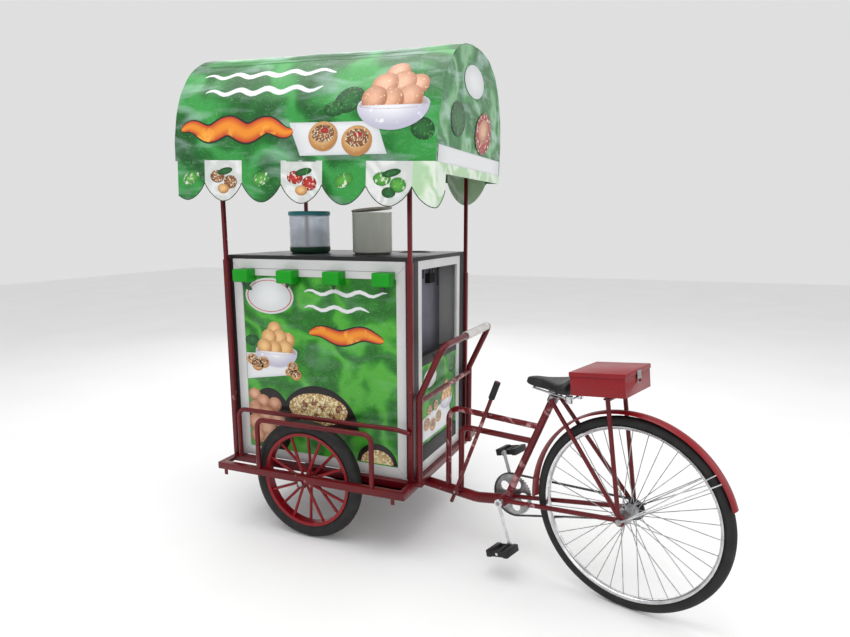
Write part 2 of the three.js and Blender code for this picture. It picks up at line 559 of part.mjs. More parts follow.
const STAY = { dropout: 68, chain: 28, seat: 34, post: 72, postTopX: 1367, outside: 80.5 };
const dropoutZ = REAR_WHEEL.z;
function rearFrame() {
  const mainZ = 237;
  const parts = [rod(point(0, 0, 205), point(0, 0, KING.headTop), KING.head, 14)];
  parts.push(rod(point(0, 0, KING.headTop - 2), point(0, 0, RAIL.top + 20), KING.pin, 12));
  parts.push(rod(point(0, 0, RAIL.top + 1), point(0, 0, RAIL.top + 14), KING.pin + 8, 6));
  const mainKnots = bent([point(0, 0, mainZ), point(790, 0, mainZ), point(BRACKET.x, 0, BRACKET.z - 4)], 300, 3);
  parts.push(tube(mainKnots, 22, 10));
  parts.push(rod(point(BRACKET.x, -34, BRACKET.z), point(BRACKET.x, 34, BRACKET.z), 22, 12));
  const seatTube = [point(BRACKET.x, 0, BRACKET.z), point(SEAT_TOP.x, 0, SEAT_TOP.z)];
  parts.push(rod(...seatTube, 14.5, 10));
  const outerLoop = [point(638, 0, mainZ), point(638, 0, 602), point(1082, 0, 601)];
  const innerLoop = [point(705, 0, mainZ), point(705, 0, 529), point(1050, 0, 538)];
  parts.push(tube(bent(outerLoop, 55, 3), 12), tube(bent(innerLoop, 40, 3), 12));
  for (const { side } of SIDES) {
    const axle = point(REAR_WHEEL.x, side * STAY.dropout, dropoutZ);
    parts.push(rod(point(BRACKET.x, side * STAY.chain, BRACKET.z), axle, 9, 8));
    parts.push(rod(point(SEAT_TOP.x + 6, side * STAY.seat, SEAT_TOP.z - 12), axle, 8, 8));
    parts.push(rod(point(REAR_WHEEL.x, side * 60, dropoutZ), point(REAR_WHEEL.x, side * STAY.outside, dropoutZ), 18, 12));
    const postFoot = point(REAR_WHEEL.x - 6, side * STAY.post, dropoutZ);
    parts.push(rod(postFoot, point(STAY.postTopX, side * STAY.post, 778), 8, 8));
  }
  parts.push(rod(point(SEAT_TOP.x + 6, -40, SEAT_TOP.z - 12), point(SEAT_TOP.x + 6, 40, SEAT_TOP.z - 12), 8, 8));
  parts.push(block(STAY.postTopX - 12, STAY.postTopX + 12, -80, 80, 774, 780));
  parts.push(rod(point(BRAKE.x, -8, BRAKE.z), point(BRAKE.x, BRAKE.y - 9, BRAKE.z), 5, 10));
  const along = seatTube[1].clone().sub(seatTube[0]).normalize();
  const seatBore = rod(seatTube[1].clone().addScaledVector(along, -210), seatTube[1].clone().addScaledVector(along, 30),
    11.5, 12);
  const spindleBore = rod(point(BRACKET.x, -90, BRACKET.z), point(BRACKET.x, 90, BRACKET.z), 8.5, 12);
  const axleBore = rod(point(REAR_WHEEL.x, -90, dropoutZ), point(REAR_WHEEL.x, 90, dropoutZ), 5.5, 10);
  return cut(union(parts), [seatBore, spindleBore, axleBore]);
}
add(bicycle, 'rear_frame', rearFrame(), RED);

// ---------------------------------------------------------------- rear wheel
const rearAxle = point(REAR_WHEEL.x, 0, REAR_WHEEL.z);
function rearRim() {
  const r = REAR_WHEEL.rim;
  const ring = [[r - 11, -8], [r - 4, -15], [r, -15], [r, 15], [r - 4, 15], [r - 11, 8], [r - 11, -8]];
  const hub = [[5.6, -52], [10, -52], [10, -35], [26, -35], [26, -29], [15, -29], [15, 29], [26, 29], [26, 35],
    [12, 35], [12, 48], [SPROCKET, 48], [SPROCKET, 52], [5.6, 52], [5.6, -52]];
  const parts = [turned(ring, rearAxle, ALONG_Y, 40), turned(hub, rearAxle, ALONG_Y, 16)];
  for (let i = 0; i < REAR_WHEEL.spokes; i += 1) {
    const a = (i / REAR_WHEEL.spokes) * 2 * Math.PI;
    const lead = ((i >> 1) % 2 === 0 ? 1 : -1) * 0.9;
    const flange = (i % 2 === 0 ? 1 : -1) * 32;
    const at = (r2, angle, y) => point(r2 * Math.cos(angle), y, r2 * Math.sin(angle)).add(rearAxle);
    parts.push(rod(at(22, a + lead, flange), at(r - 5, a, flange * 0.12), 1.6, 3));
  }
  return union(parts);
}
add(bicycle, 'rear_rim', rearRim(), CHROME);

function rearTyre() {
  const centre = REAR_WHEEL.radius - REAR_WHEEL.section;
  const inner = REAR_WHEEL.rim + GAP;
  const profile = [[inner, -14]];
  for (let a = -120; a <= 120; a += 30) {
    const r = centre + REAR_WHEEL.section * Math.cos(a * DEG);
    profile.push([Math.max(r, inner), REAR_WHEEL.section * Math.sin(a * DEG)]);
  }
  profile.push([inner, 14], [inner, -14]);
  return turned(profile, rearAxle, ALONG_Y, 40);
}
add(bicycle, 'rear_tyre', rearTyre(), RUBBER);

const axleBar = rod(point(REAR_WHEEL.x, -96, REAR_WHEEL.z), point(REAR_WHEEL.x, 96, REAR_WHEEL.z), 5, 10);
const axleNuts = SIDES.map(({ side }) => rod(point(REAR_WHEEL.x, side * (STAY.outside + GAP), REAR_WHEEL.z),
  point(REAR_WHEEL.x, side * (STAY.outside + 10), REAR_WHEEL.z), 11, 6));
add(bicycle, 'rear_axle', union([axleBar, ...axleNuts]), STEEL);

function mudguard() {
  const steps = 20;
  const m = MUDGUARD;
  const centre = point(REAR_WHEEL.x + m.offset, 0, REAR_WHEEL.z);
  const section = [];
  for (const [y, drop] of [[-1, 12], [-0.7, 2], [0, 0], [0.7, 2], [1, 12]]) {
    section.push([y * m.half, m.radius - drop]);
  }
  const inner = section.map(([y, r]) => [y * (1 - m.sheet / m.half), r - m.sheet]).reverse();
  const outline = [...section, ...inner];
  const rings = [];
  for (let i = 0; i <= steps; i += 1) {
    const a = m.from + ((m.to - m.from) * i) / steps;
    rings.push(outline.map(([y, r]) => point(centre.x + r * Math.cos(a), y, centre.z + r * Math.sin(a))));
  }
  const stays = [];
  const stayY = STAY.outside + 5;
  for (const { side } of SIDES) {
    for (const angle of [33 * DEG, 38 * DEG]) {
      const r = m.radius - 8;
      const end = point(centre.x + r * Math.cos(angle), side * (m.half - 2), centre.z + r * Math.sin(angle));
      stays.push(rod(point(REAR_WHEEL.x + 26, side * stayY, REAR_WHEEL.z + 16), end, 2.5, 5));
    }
    stays.push(rod(point(REAR_WHEEL.x + 34, side * stayY, REAR_WHEEL.z + 20),
      point(REAR_WHEEL.x + 17, side * stayY, REAR_WHEEL.z + 7), 4, 6));
  }
  return union([loft(rings), ...stays]);
}

// A closed solid through rings with the same number of points, capped at both ends.
function loft(rings) {
  const count = rings[0].length;
  const corners = [];
  const quad = (a, b, c, d) => corners.push(a, b, c, a, c, d);
  for (let i = 0; i < rings.length - 1; i += 1) {
    for (let k = 0; k < count; k += 1) {
      const n = (k + 1) % count;
      quad(rings[i][k], rings[i][n], rings[i + 1][n], rings[i + 1][k]);
    }
  }
  for (let k = 0; k < count / 2 - 1; k += 1) {
    const other = count - 1 - k;
    quad(rings[0][k], rings[0][other], rings[0][other - 1], rings[0][k + 1]);
    const last = rings[rings.length - 1];
    quad(last[k], last[k + 1], last[other - 1], last[other]);
  }
  const geometry = new THREE.BufferGeometry().setFromPoints(corners);
  const shape = solid(geometry);
  if (shape.volume() >= 0) return shape;
  const index = geometry.attributes.position;
  for (let i = 0; i < index.count; i += 3) {
    const first = corners[i];
    corners[i] = corners[i + 1];
    corners[i + 1] = first;
  }
  return solid(new THREE.BufferGeometry().setFromPoints(corners));
}
add(bicycle, 'mudguard', mudguard(), RED);

// ---------------------------------------------------------------- crank, pedals and chain
const crankEnd = (sign) => [BRACKET.x + sign * CRANK.length * Math.cos(CRANK.angle),
  BRACKET.z + sign * CRANK.length * Math.sin(CRANK.angle)];

function crankArm(sign, y) {
  const [x, z] = crankEnd(sign);
  const arm = [point(BRACKET.x, y, BRACKET.z), point(x, y, z)];
  const eyes = [[BRACKET.x, BRACKET.z, 16], [x, z, 12]]
    .map(([ex, ez, r]) => rod(point(ex, y - 5, ez), point(ex, y + 5, ez), r, 14));
  const outward = Math.sign(y);
  const pedalPin = rod(point(x, y, z), point(x, outward * 158, z), 6, 8);
  return union([rod(...arm, 7, 8), ...eyes, pedalPin]);
}

function chainring() {
  const hole = (a) => rod(point(BRACKET.x + 50 * Math.cos(a), 0, BRACKET.z + 50 * Math.sin(a)),
    point(BRACKET.x + 50 * Math.cos(a), 90, BRACKET.z + 50 * Math.sin(a)), 20, 12);
  const y = CRANK.ringY;
  const disc = rod(point(BRACKET.x, y - 1.5, BRACKET.z), point(BRACKET.x, y + 1.5, BRACKET.z), CRANK.ring, 36);
  return cut(disc, [0, 1, 2, 3, 4].map((i) => hole((i / 5) * 2 * Math.PI)));
}
const spindle = rod(point(BRACKET.x, -70, BRACKET.z), point(BRACKET.x, CRANK.farY, BRACKET.z), 8, 12);
add(bicycle, 'crank_far', union([crankArm(-1, CRANK.farY), chainring(), spindle]), CHROME);
const nearEye = rod(point(BRACKET.x, -90, BRACKET.z), point(BRACKET.x, -20, BRACKET.z), 8 + GAP, 12);
add(bicycle, 'crank_near', crankArm(1, CRANK.nearY).subtract(nearEye), CHROME);

for (const { side, label } of SIDES) {
  const sign = -side;
  const [x, z] = crankEnd(sign);
  const inner = 74;
  const [y0, y1] = across(side, inner, inner + 84);
  const half = 13;
  const treads = [-1, 1].map((end) => block(end * 38 - 10, end * 38 + 10, y0, y1, -half, half));
  const cheeks = [[y0, y0 + 6], [y1 - 6, y1]].map(([a, b]) => block(-46, 46, a, b, -half + 3, half - 3));
  const barrel = rod(point(0, y0 + 2, 0), point(0, y1 - 2, 0), 11, 10);
  const pinBore = rod(point(0, -200, 0), point(0, 200, 0), 6.5, 10);
  const pedal = new THREE.Group();
  add(pedal, `pedal_${label}`, cut(union([...treads, ...cheeks, barrel]), [pinBore]), RUBBER);
  pedal.position.set(x, 0, z);
  pedal.rotation.y = -14 * DEG;
  bicycle.add(pedal);
}

// The chain is a band that hugs both wheels just outside their tooth roots.
function chain() {
  const loop = (offset) => {
    const r1 = CRANK.ring + offset;
    const r2 = SPROCKET + offset;
    const dx = REAR_WHEEL.x - BRACKET.x;
    const dz = REAR_WHEEL.z - BRACKET.z;
    const span = Math.hypot(dx, dz);
    const lean = Math.atan2(dz, dx);
    const wrap = Math.acos((r1 - r2) / span);
    const outline = [];
    for (let i = 0; i <= 16; i += 1) {
      const a = lean + wrap + ((2 * Math.PI - 2 * wrap) * i) / 16;
      outline.push(new THREE.Vector2(BRACKET.x + r1 * Math.cos(a), BRACKET.z + r1 * Math.sin(a)));
    }
    for (let i = 0; i <= 8; i += 1) {
      const a = lean - wrap + (2 * wrap * i) / 8;
      outline.push(new THREE.Vector2(REAR_WHEEL.x + r2 * Math.cos(a), REAR_WHEEL.z + r2 * Math.sin(a)));
    }
    return outline;
  };
  const shape = new THREE.Shape(loop(1 + CHAIN.thickness));
  shape.holes.push(new THREE.Path(loop(1).reverse()));
  return uprightPlate(shape, CHAIN.y - CHAIN.width / 2, CHAIN.y + CHAIN.width / 2);
}
add(bicycle, 'chain', chain(), STEEL);

// ---------------------------------------------------------------- saddle and its post
function saddleFrame() {
  const along = point(SEAT_TOP.x - BRACKET.x, 0, SEAT_TOP.z - BRACKET.z).normalize();
  const mouth = point(SEAT_TOP.x, 0, SEAT_TOP.z);
  const post = rod(mouth.clone().addScaledVector(along, -160), mouth.clone().addScaledVector(along, 14), 11, 12);
  const clampAt = mouth.clone().addScaledVector(along, 11);
  const parts = [post, block(clampAt.x - 20, clampAt.x + 20, -24, 24, clampAt.z - 2, clampAt.z + 9)];
  for (const { side } of SIDES) {
    const railZ = clampAt.z + 6;
    parts.push(rod(point(1046, side * 12, railZ + 4), point(1218, side * 40, railZ - 10), 4, 6));
    parts.push(rod(point(1210, side * 42, railZ - 22), point(1210, side * 42, 755), 14, 10));
  }
  parts.push(rod(point(1046, -14, clampAt.z + 10), point(1046, 14, clampAt.z + 10), 4, 6));
  parts.push(rod(point(1210, -46, clampAt.z - 8), point(1210, 46, clampAt.z - 8), 5, 6));
  return union(parts);
}
add(bicycle, 'saddle_frame', saddleFrame(), STEEL);

function saddleCover() {
  const stations = [[1018, 6, 776, 789], [1024, 20, 766, 793], [1050, 27, 760, 798], [1100, 38, 758, 800],
    [1150, 66, 757, 805], [1185, 90, 757, 811], [1210, 94, 758, 819], [1223, 80, 762, 817], [1228, 52, 772, 808]];
  const around = 16;
  return loft(stations.map(([x, half, bottom, top]) => Array.from({ length: around }, (_, i) => {
    const a = ((i + 0.5) / around) * 2 * Math.PI;
    const squash = (v) => Math.sign(v) * Math.abs(v) ** 0.75;
    return point(x, half * squash(Math.cos(a)), (top + bottom) / 2 + ((top - bottom) / 2) * squash(Math.sin(a)));
  })));
}
add(bicycle, 'saddle_cover', saddleCover(), BLACK);

// ---------------------------------------------------------------- cash box behind the saddle
const box = new THREE.Group();
box.position.set(BOX.x, 0, BOX.z);
box.rotation.y = BOX.tilt;
bicycle.add(box);

const boxShell = block(0, BOX.length, -BOX.half, BOX.half, 6, BOX.height)
  .subtract(block(BOX.wall, BOX.length - BOX.wall, -BOX.half + BOX.wall, BOX.half - BOX.wall, 6 + BOX.wall, 200));
const staple = rod(point(BOX.length - 1, -7, 48), point(BOX.length + 12, -7, 48), 2.5, 6)
  .add(rod(point(BOX.length - 1, 7, 48), point(BOX.length + 12, 7, 48), 2.5, 6))
  .add(rod(point(BOX.length + 11, -9, 48), point(BOX.length + 11, 9, 48), 2.5, 6));
add(box, 'cash_box', boxShell.add(staple), RED);

const LID = { over: 3, lip: 12, sheet: 2, top: BOX.height + 4 };
const lidOuter = block(-LID.over, BOX.length + LID.over, -BOX.half - LID.over, BOX.half + LID.over,
  BOX.height - LID.lip, LID.top);
const inset = LID.over - LID.sheet;
const lidInner = block(-inset, BOX.length + inset, -BOX.half - inset, BOX.half + inset,
  BOX.height - LID.lip - 5, BOX.height + GAP);
add(box, 'cash_box_lid', lidOuter.subtract(lidInner), RED);

const hasp = block(BOX.length + LID.over + GAP, BOX.length + LID.over + 3, -16, 16, 40, BOX.height)
  .subtract(block(BOX.length, BOX.length + 20, -11, 11, 30, 55));
add(box, 'box_hasp', hasp, STEEL);

// ---------------------------------------------------------------- hand brake lever
const lever = new THREE.Group();
const reach = point(BRAKE.topX - BRAKE.x, 0, BRAKE.topZ - BRAKE.z);
const footDown = point(BRAKE.footX - BRAKE.x, 0, BRAKE.footZ - BRAKE.z);
const gripStart = reach.clone().multiplyScalar(0.86);
const boss = rod(point(0, -5, 0), point(0, 5, 0), 15, 14);
const pinHole = rod(point(0, -30, 0), point(0, 30, 0), 5.5, 10);
const shaft = union([rod(point(0, 0, 0), reach, 8, 8), rod(point(0, 0, 0), footDown, 8, 8), boss]);
add(lever, 'brake_lever', shaft.subtract(pinHole), RED);
const gripTube = tube([gripStart, reach.clone().multiplyScalar(0.998)], 13, 10, 8 + GAP + 0.4);
add(lever, 'brake_grip', gripTube, RUBBER);
lever.position.set(BRAKE.x, BRAKE.y, BRAKE.z);
bicycle.add(lever);

// ---------------------------------------------------------------- origin: middle of the footprint, on the ground
const bounds = new THREE.Box3().setFromObject(cart, true);
cart.position.set(-(bounds.min.x + bounds.max.x) / 2, -(bounds.min.y + bounds.max.y) / 2, -bounds.min.z);

const vendingCart = new THREE.Group();
vendingCart.add(cart);
export default vendingCart;
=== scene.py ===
import json
import math
import random

import bmesh
import bpy
from mathutils import Matrix, Vector


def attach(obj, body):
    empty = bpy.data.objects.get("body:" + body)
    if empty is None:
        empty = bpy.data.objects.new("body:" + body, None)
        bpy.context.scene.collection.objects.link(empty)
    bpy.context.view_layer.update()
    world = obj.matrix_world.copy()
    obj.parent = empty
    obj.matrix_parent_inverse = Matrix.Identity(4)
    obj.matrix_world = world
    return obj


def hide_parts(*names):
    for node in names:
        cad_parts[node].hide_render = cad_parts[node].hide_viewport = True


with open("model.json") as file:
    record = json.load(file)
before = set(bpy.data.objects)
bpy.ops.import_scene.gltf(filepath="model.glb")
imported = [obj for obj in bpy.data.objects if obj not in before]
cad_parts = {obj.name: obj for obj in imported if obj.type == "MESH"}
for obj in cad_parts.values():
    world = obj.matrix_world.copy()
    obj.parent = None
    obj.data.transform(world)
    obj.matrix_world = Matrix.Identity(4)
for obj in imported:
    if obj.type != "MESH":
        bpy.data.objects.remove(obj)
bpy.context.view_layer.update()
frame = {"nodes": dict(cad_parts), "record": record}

# ======================================================================================================
# Where things are. The cart is measured from the king pin, on the ground, in millimetres; the bicycle
# half is measured the same way along its own length, which is turned about that pin at rest.
joints = {entry["name"]: entry for entry in frame["record"]["behaviour"]["joints"]}
king = Vector((joints["steer"]["pos_m"][0], joints["steer"]["pos_m"][1], 0))
bike_side = Vector(joints["rear_wheel_spin"]["axis"])
UP = Vector((0, 0, 1))
bike_length = bike_side.cross(UP)
MM = 0.001


def on_cart(x, y, z):
    return king + Vector((x, y, z)) * MM


cart_place = Matrix.Translation(king) @ Matrix.Scale(MM, 4)
bike_turn = Matrix((bike_length, bike_side, UP)).transposed().to_4x4()
bike_place = Matrix.Translation(king) @ bike_turn @ Matrix.Scale(MM, 4)

# ======================================================================================================
# Studio. A pale floor, a wide soft light overhead and two soft side lights; the camera stands a little
# above the counter, behind the near rear corner.
scene = bpy.context.scene
scene.view_settings.view_transform = "Standard"
camera_data = bpy.data.cameras.new("studio_camera")
camera_data.lens = 27.22
camera_data.sensor_width = 36
camera_data.shift_x = 0.0099
camera_data.shift_y = 0.0288
camera_data.clip_end = 60
yaw, pitch, roll = math.radians(23.52), math.radians(10.49), math.radians(-0.28)
look = Vector((-math.sin(yaw) * math.cos(pitch), math.cos(yaw) * math.cos(pitch), -math.sin(pitch)))
level = Vector((math.cos(yaw), math.sin(yaw), 0))
rise = level.cross(look)
camera_x = level * math.cos(roll) + rise * math.sin(roll)
camera_y = rise * math.cos(roll) - level * math.sin(roll)
camera = bpy.data.objects.new("studio_camera", camera_data)
camera.matrix_world = Matrix.Translation(on_cart(1536.6, -2652, 1365)) @ Matrix(
    (camera_x, camera_y, -look)).transposed().to_4x4()
scene.collection.objects.link(camera)
scene.camera = camera

LIGHTS = [
    ("overhead_softbox", (-0.3, -0.6, 4.6), (0, 0, 1.0), 4.5, 140),
    ("near_softbox", (1.2, -4.6, 2.6), (0, 0, 0.9), 3.2, 20),
    ("rear_softbox", (4.4, 0.8, 2.4), (0.2, 0, 0.9), 2.6, 26),
    ("far_softbox", (-2.6, 4.0, 2.8), (0, 0, 0.9), 3.0, 34),
]
for light_name, place, aim, size, power in LIGHTS:
    light_data = bpy.data.lights.new(light_name, "AREA")
    light_data.size = size
    light_data.energy = power
    light = bpy.data.objects.new(light_name, light_data)
    light.location = place
    light.rotation_euler = (Vector(aim) - Vector(place)).to_track_quat("-Z", "Y").to_euler()
    scene.collection.objects.link(light)

studio_air = bpy.data.worlds.new("studio_air")
studio_air.use_nodes = True
air_light = studio_air.node_tree.nodes["Background"]
air_light.inputs["Color"].default_value = (1.0, 1.0, 1.0, 1.0)
air_light.inputs["Strength"].default_value = 0.74
scene.world = studio_air


def lay_out(tree, effects):
    """Puts each effect's nodes in a labelled frame, left to right."""
    for row, (effect, nodes) in enumerate(effects.items()):
        panel = tree.nodes.new("NodeFrame")
        panel.label = effect
        for column, node in enumerate(nodes):
            node.location = (260 * column - 900, 360 - 340 * row)
            node.parent = panel


floor_paint = bpy.data.materials.new("studio_floor")
floor_paint.use_nodes = True
tree = floor_paint.node_tree
tree.nodes.clear()
place = tree.nodes.new("ShaderNodeTexCoord")
place.label = "where on the floor"
grain = tree.nodes.new("ShaderNodeTexNoise")
grain.label = "faint mottling"
grain.inputs["Scale"].default_value = 1.4
tone = tree.nodes.new("ShaderNodeValToRGB")
tone.label = "almost white"
tone.color_ramp.elements[0].color = (0.86, 0.86, 0.86, 1)
tone.color_ramp.elements[1].color = (0.93, 0.93, 0.93, 1)
surface = tree.nodes.new("ShaderNodeBsdfPrincipled")
surface.label = "matt floor"
surface.inputs["Roughness"].default_value = 0.9
out = tree.nodes.new("ShaderNodeOutputMaterial")
tree.links.new(place.outputs["Object"], grain.inputs["Vector"])
tree.links.new(grain.outputs["Fac"], tone.inputs["Fac"])
tree.links.new(tone.outputs["Color"], surface.inputs["Base Color"])
tree.links.new(surface.outputs["BSDF"], out.inputs["Surface"])
lay_out(tree, {"floor colour": [place, grain, tone], "floor": [surface, out]})

floor_mesh = bpy.data.meshes.new("studio_floor")
FLOOR = 14
floor_mesh.from_pydata([(-FLOOR, -FLOOR, 0), (FLOOR, -FLOOR, 0), (FLOOR, FLOOR, 0), (-FLOOR, FLOOR, 0)], [],
                       [(0, 1, 2, 3)])
floor_mesh.materials.append(floor_paint)
floor = bpy.data.objects.new("studio_floor", floor_mesh)
scene.collection.objects.link(floor)

# ======================================================================================================
# Platform. Angle-iron rails welded into a flat frame, with the cross member that carries the king pin
# and the bearing plates for the wheel pins; sprayed gloss red over steel, some packing film still on.
ENAMEL_RED = (0.165, 0.002, 0.007)
ENAMEL_DARK = (0.06, 0.002, 0.004)
FILM_PINK = (0.42, 0.21, 0.22)


def enamel(name, coat, shade, film_share, roughness=0.32):
    """Sprayed gloss paint: shade drifts, dust settles in specks, clear film clings in torn patches."""
    paint = bpy.data.materials.new(name)
    paint.use_nodes = True
    tree = paint.node_tree
    tree.nodes.clear()
    place = tree.nodes.new("ShaderNodeTexCoord")
    place.label = "place on the part"
    drift = tree.nodes.new("ShaderNodeTexNoise")
    drift.label = "uneven spraying"
    drift.inputs["Scale"].default_value = 9
    drift.inputs["Detail"].default_value = 4
    paint_mix = tree.nodes.new("ShaderNodeMix")
    paint_mix.label = "thick and thin paint"
    paint_mix.data_type = "RGBA"
    paint_mix.inputs[6].default_value = (*shade, 1)
    paint_mix.inputs[7].default_value = (*coat, 1)
    dust = tree.nodes.new("ShaderNodeTexNoise")
    dust.label = "dust and chips"
    dust.inputs["Scale"].default_value = 260
    dust.inputs["Detail"].default_value = 3
    dust_cut = tree.nodes.new("ShaderNodeValToRGB")
    dust_cut.label = "only the specks"
    dust_cut.color_ramp.elements[0].position = 0.66
    dust_cut.color_ramp.elements[1].position = 0.74
    dust_mix = tree.nodes.new("ShaderNodeMix")
    dust_mix.label = "specks over paint"
    dust_mix.data_type = "RGBA"
    dust_mix.inputs[7].default_value = (coat[0] * 0.6 + 0.12, 0.10, 0.09, 1)
    film = tree.nodes.new("ShaderNodeTexNoise")
    film.label = "torn packing film"
    film.inputs["Scale"].default_value = 17
    film.inputs["Detail"].default_value = 6
    film.inputs["Distortion"].default_value = 1.2
    film_cut = tree.nodes.new("ShaderNodeValToRGB")
    film_cut.label = "edge of the film"
    film_cut.color_ramp.elements[0].position = 0.72 - 0.3 * film_share
    film_cut.color_ramp.elements[1].position = 0.78 - 0.25 * film_share
    film_mix = tree.nodes.new("ShaderNodeMix")
    film_mix.label = "milky film over paint"
    film_mix.data_type = "RGBA"
    film_mix.inputs[7].default_value = (*FILM_PINK, 1)
    gloss = tree.nodes.new("ShaderNodeMapRange")
    gloss.label = "duller where thin"
    gloss.inputs["To Min"].default_value = roughness + 0.14
    gloss.inputs["To Max"].default_value = roughness - 0.08
    peel = tree.nodes.new("ShaderNodeTexNoise")
    peel.label = "orange peel"
    peel.inputs["Scale"].default_value = 420
    bump = tree.nodes.new("ShaderNodeBump")
    bump.label = "paint relief"
    bump.inputs["Strength"].default_value = 0.12
    bump.inputs["Distance"].default_value = 0.0006
    surface = tree.nodes.new("ShaderNodeBsdfPrincipled")
    surface.label = "paint"
    surface.inputs["Specular IOR Level"].default_value = 0.3
    surface.inputs["Coat Weight"].default_value = 0.1
    surface.inputs["Coat Roughness"].default_value = 0.18
    out = tree.nodes.new("ShaderNodeOutputMaterial")
    for texture in (drift, dust, film, peel):
        tree.links.new(place.outputs["Object"], texture.inputs["Vector"])
    tree.links.new(drift.outputs["Fac"], paint_mix.inputs[0])
    tree.links.new(dust.outputs["Fac"], dust_cut.inputs["Fac"])
    tree.links.new(dust_cut.outputs["Color"], dust_mix.inputs[0])
    tree.links.new(paint_mix.outputs[2], dust_mix.inputs[6])
    tree.links.new(film.outputs["Fac"], film_cut.inputs["Fac"])
    tree.links.new(film_cut.outputs["Color"], film_mix.inputs[0])
    tree.links.new(dust_mix.outputs[2], film_mix.inputs[6])
    tree.links.new(film_mix.outputs[2], surface.inputs["Base Color"])
    tree.links.new(drift.outputs["Fac"], gloss.inputs["Value"])
    tree.links.new(gloss.outputs["Result"], surface.inputs["Roughness"])
    tree.links.new(peel.outputs["Fac"], bump.inputs["Height"])
    tree.links.new(bump.outputs["Normal"], surface.inputs["Normal"])
    tree.links.new(surface.outputs["BSDF"], out.inputs["Surface"])
    lay_out(tree, {"paint colour": [place, drift, paint_mix], "dust": [dust, dust_cut, dust_mix],
                   "packing film": [film, film_cut, film_mix], "gloss and relief": [gloss, peel, bump],
                   "paint": [surface, out]})
    return paint


red_enamel = enamel("red_enamel", ENAMEL_RED, ENAMEL_DARK, 0.10)
red_filmed = enamel("red_enamel_filmed", ENAMEL_RED, ENAMEL_DARK, 0.62)
red_bright = enamel("red_enamel_bright", (0.29, 0.004, 0.010), (0.18, 0.003, 0.007), 0.06)


def finished(name, mesh, body, material=None, stands_for=(), sharp=35):
    """Turns a mesh, already in place and in metres, into a piece that rides on a body."""
    mesh.name = name
    if material:
        mesh.materials.clear()
        mesh.materials.append(material)
    mesh.shade_smooth()
    mesh.set_sharp_from_angle(angle=math.radians(sharp))
    piece = bpy.data.objects.new(name, mesh)
    scene.collection.objects.link(piece)
    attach(piece, body)
    if stands_for:
        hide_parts(*stands_for)
    return piece


def merged(meshes, matrix=None):
    """Joins meshes into one, keeping each face's material, with faces outward."""
    whole = bmesh.new()
    materials = []
    for mesh in meshes:
        first = len(whole.faces)
        whole.from_mesh(mesh)
        whole.faces.ensure_lookup_table()
        for face in whole.faces[first:]:
            material = mesh.materials[face.material_index] if mesh.materials else None
            if material not in materials:
                materials.append(material)
            face.material_index = materials.index(material)
    if matrix:
        bmesh.ops.transform(whole, matrix=matrix, verts=whole.verts)
    bmesh.ops.recalc_face_normals(whole, faces=whole.faces)
    result = bpy.data.meshes.new("joined")
    whole.to_mesh(result)
    whole.free()
    for material in materials:
        if material:
            result.materials.append(material)
    return result


def grown(tree, seed_mesh, sizes):
    """What a Geometry Nodes tree makes of a seed mesh, as a plain mesh."""
    seed = bpy.data.objects.new("seed", seed_mesh)
    scene.collection.objects.link(seed)
    growth = seed.modifiers.new("growth", "NODES")
    growth.node_group = tree
    for item in tree.interface.items_tree:
        if item.item_type == "SOCKET" and item.in_out == "INPUT" and item.name in sizes:
            growth[item.identifier] = sizes[item.name]
    seen = seed.evaluated_get(bpy.context.evaluated_depsgraph_get())
    mesh = bpy.data.meshes.new_from_object(seen)
    seed.modifiers.remove(growth)
    bpy.data.objects.remove(seed)
    return mesh


def made_solid(node, body, material, edge=1.2):
    """A sawn, folded or welded part: the CAD solid with its doubles merged and its edges eased."""
    sheet = bmesh.new()
    sheet.from_mesh(frame["nodes"][node].data)
    sheet.transform(frame["nodes"][node].matrix_world)
    bmesh.ops.remove_doubles(sheet, verts=sheet.verts, dist=0.00002)
    bmesh.ops.dissolve_limit(sheet, angle_limit=math.radians(1), verts=sheet.verts, edges=sheet.edges)
    mesh = bpy.data.meshes.new(node)
    sheet.to_mesh(mesh)
    sheet.free()
    carrier = bpy.data.objects.new("carrier", mesh)
    scene.collection.objects.link(carrier)
    ease = carrier.modifiers.new("eased edges", "BEVEL")
    ease.width = edge * MM
    ease.segments = 2
    ease.limit_method = "ANGLE"
    ease.angle_limit = math.radians(40)
    ease.harden_normals = False
    flat = carrier.modifiers.new("flat faces", "WEIGHTED_NORMAL")
    flat.keep_sharp = True
    seen = carrier.evaluated_get(bpy.context.evaluated_depsgraph_get())
    eased = bpy.data.meshes.new_from_object(seen)
    bpy.data.objects.remove(carrier)
    return finished(node + "_made", eased, body, material, (node,), 60)


made_solid("platform_frame", "cart", red_enamel, 1.0)

# ======================================================================================================
# Guard hoops. Round tube bent twice and welded to the rails: an outer hoop over each wheel and an inner
# hoop that runs the length of the cabinet and dips into the rear post.
tube_tree = bpy.data.node_groups.new("Tube along its centre line", "GeometryNodeTree")
for label, kind in (("Centre line", "NodeSocketGeometry"), ("Tube radius", "NodeSocketFloat"),
                    ("Bend radius", "NodeSocketFloat"), ("Sides", "NodeSocketInt"),
                    ("Finish", "NodeSocketMaterial")):
    tube_tree.interface.new_socket(label, in_out="INPUT", socket_type=kind)
tube_tree.interface.new_socket("Tube", in_out="OUTPUT", socket_type="NodeSocketGeometry")
asked = tube_tree.nodes.new("NodeGroupInput")
line = tube_tree.nodes.new("GeometryNodeMeshToCurve")
line.label = "edges become a centre line"
bends = tube_tree.nodes.new("GeometryNodeFilletCurve")
bends.label = "bend at each corner"
bends.mode = "POLY"
bends.inputs["Count"].default_value = 8
bends.inputs["Limit Radius"].default_value = True
section = tube_tree.nodes.new("GeometryNodeCurvePrimitiveCircle")
section.label = "round section"
swept = tube_tree.nodes.new("GeometryNodeCurveToMesh")
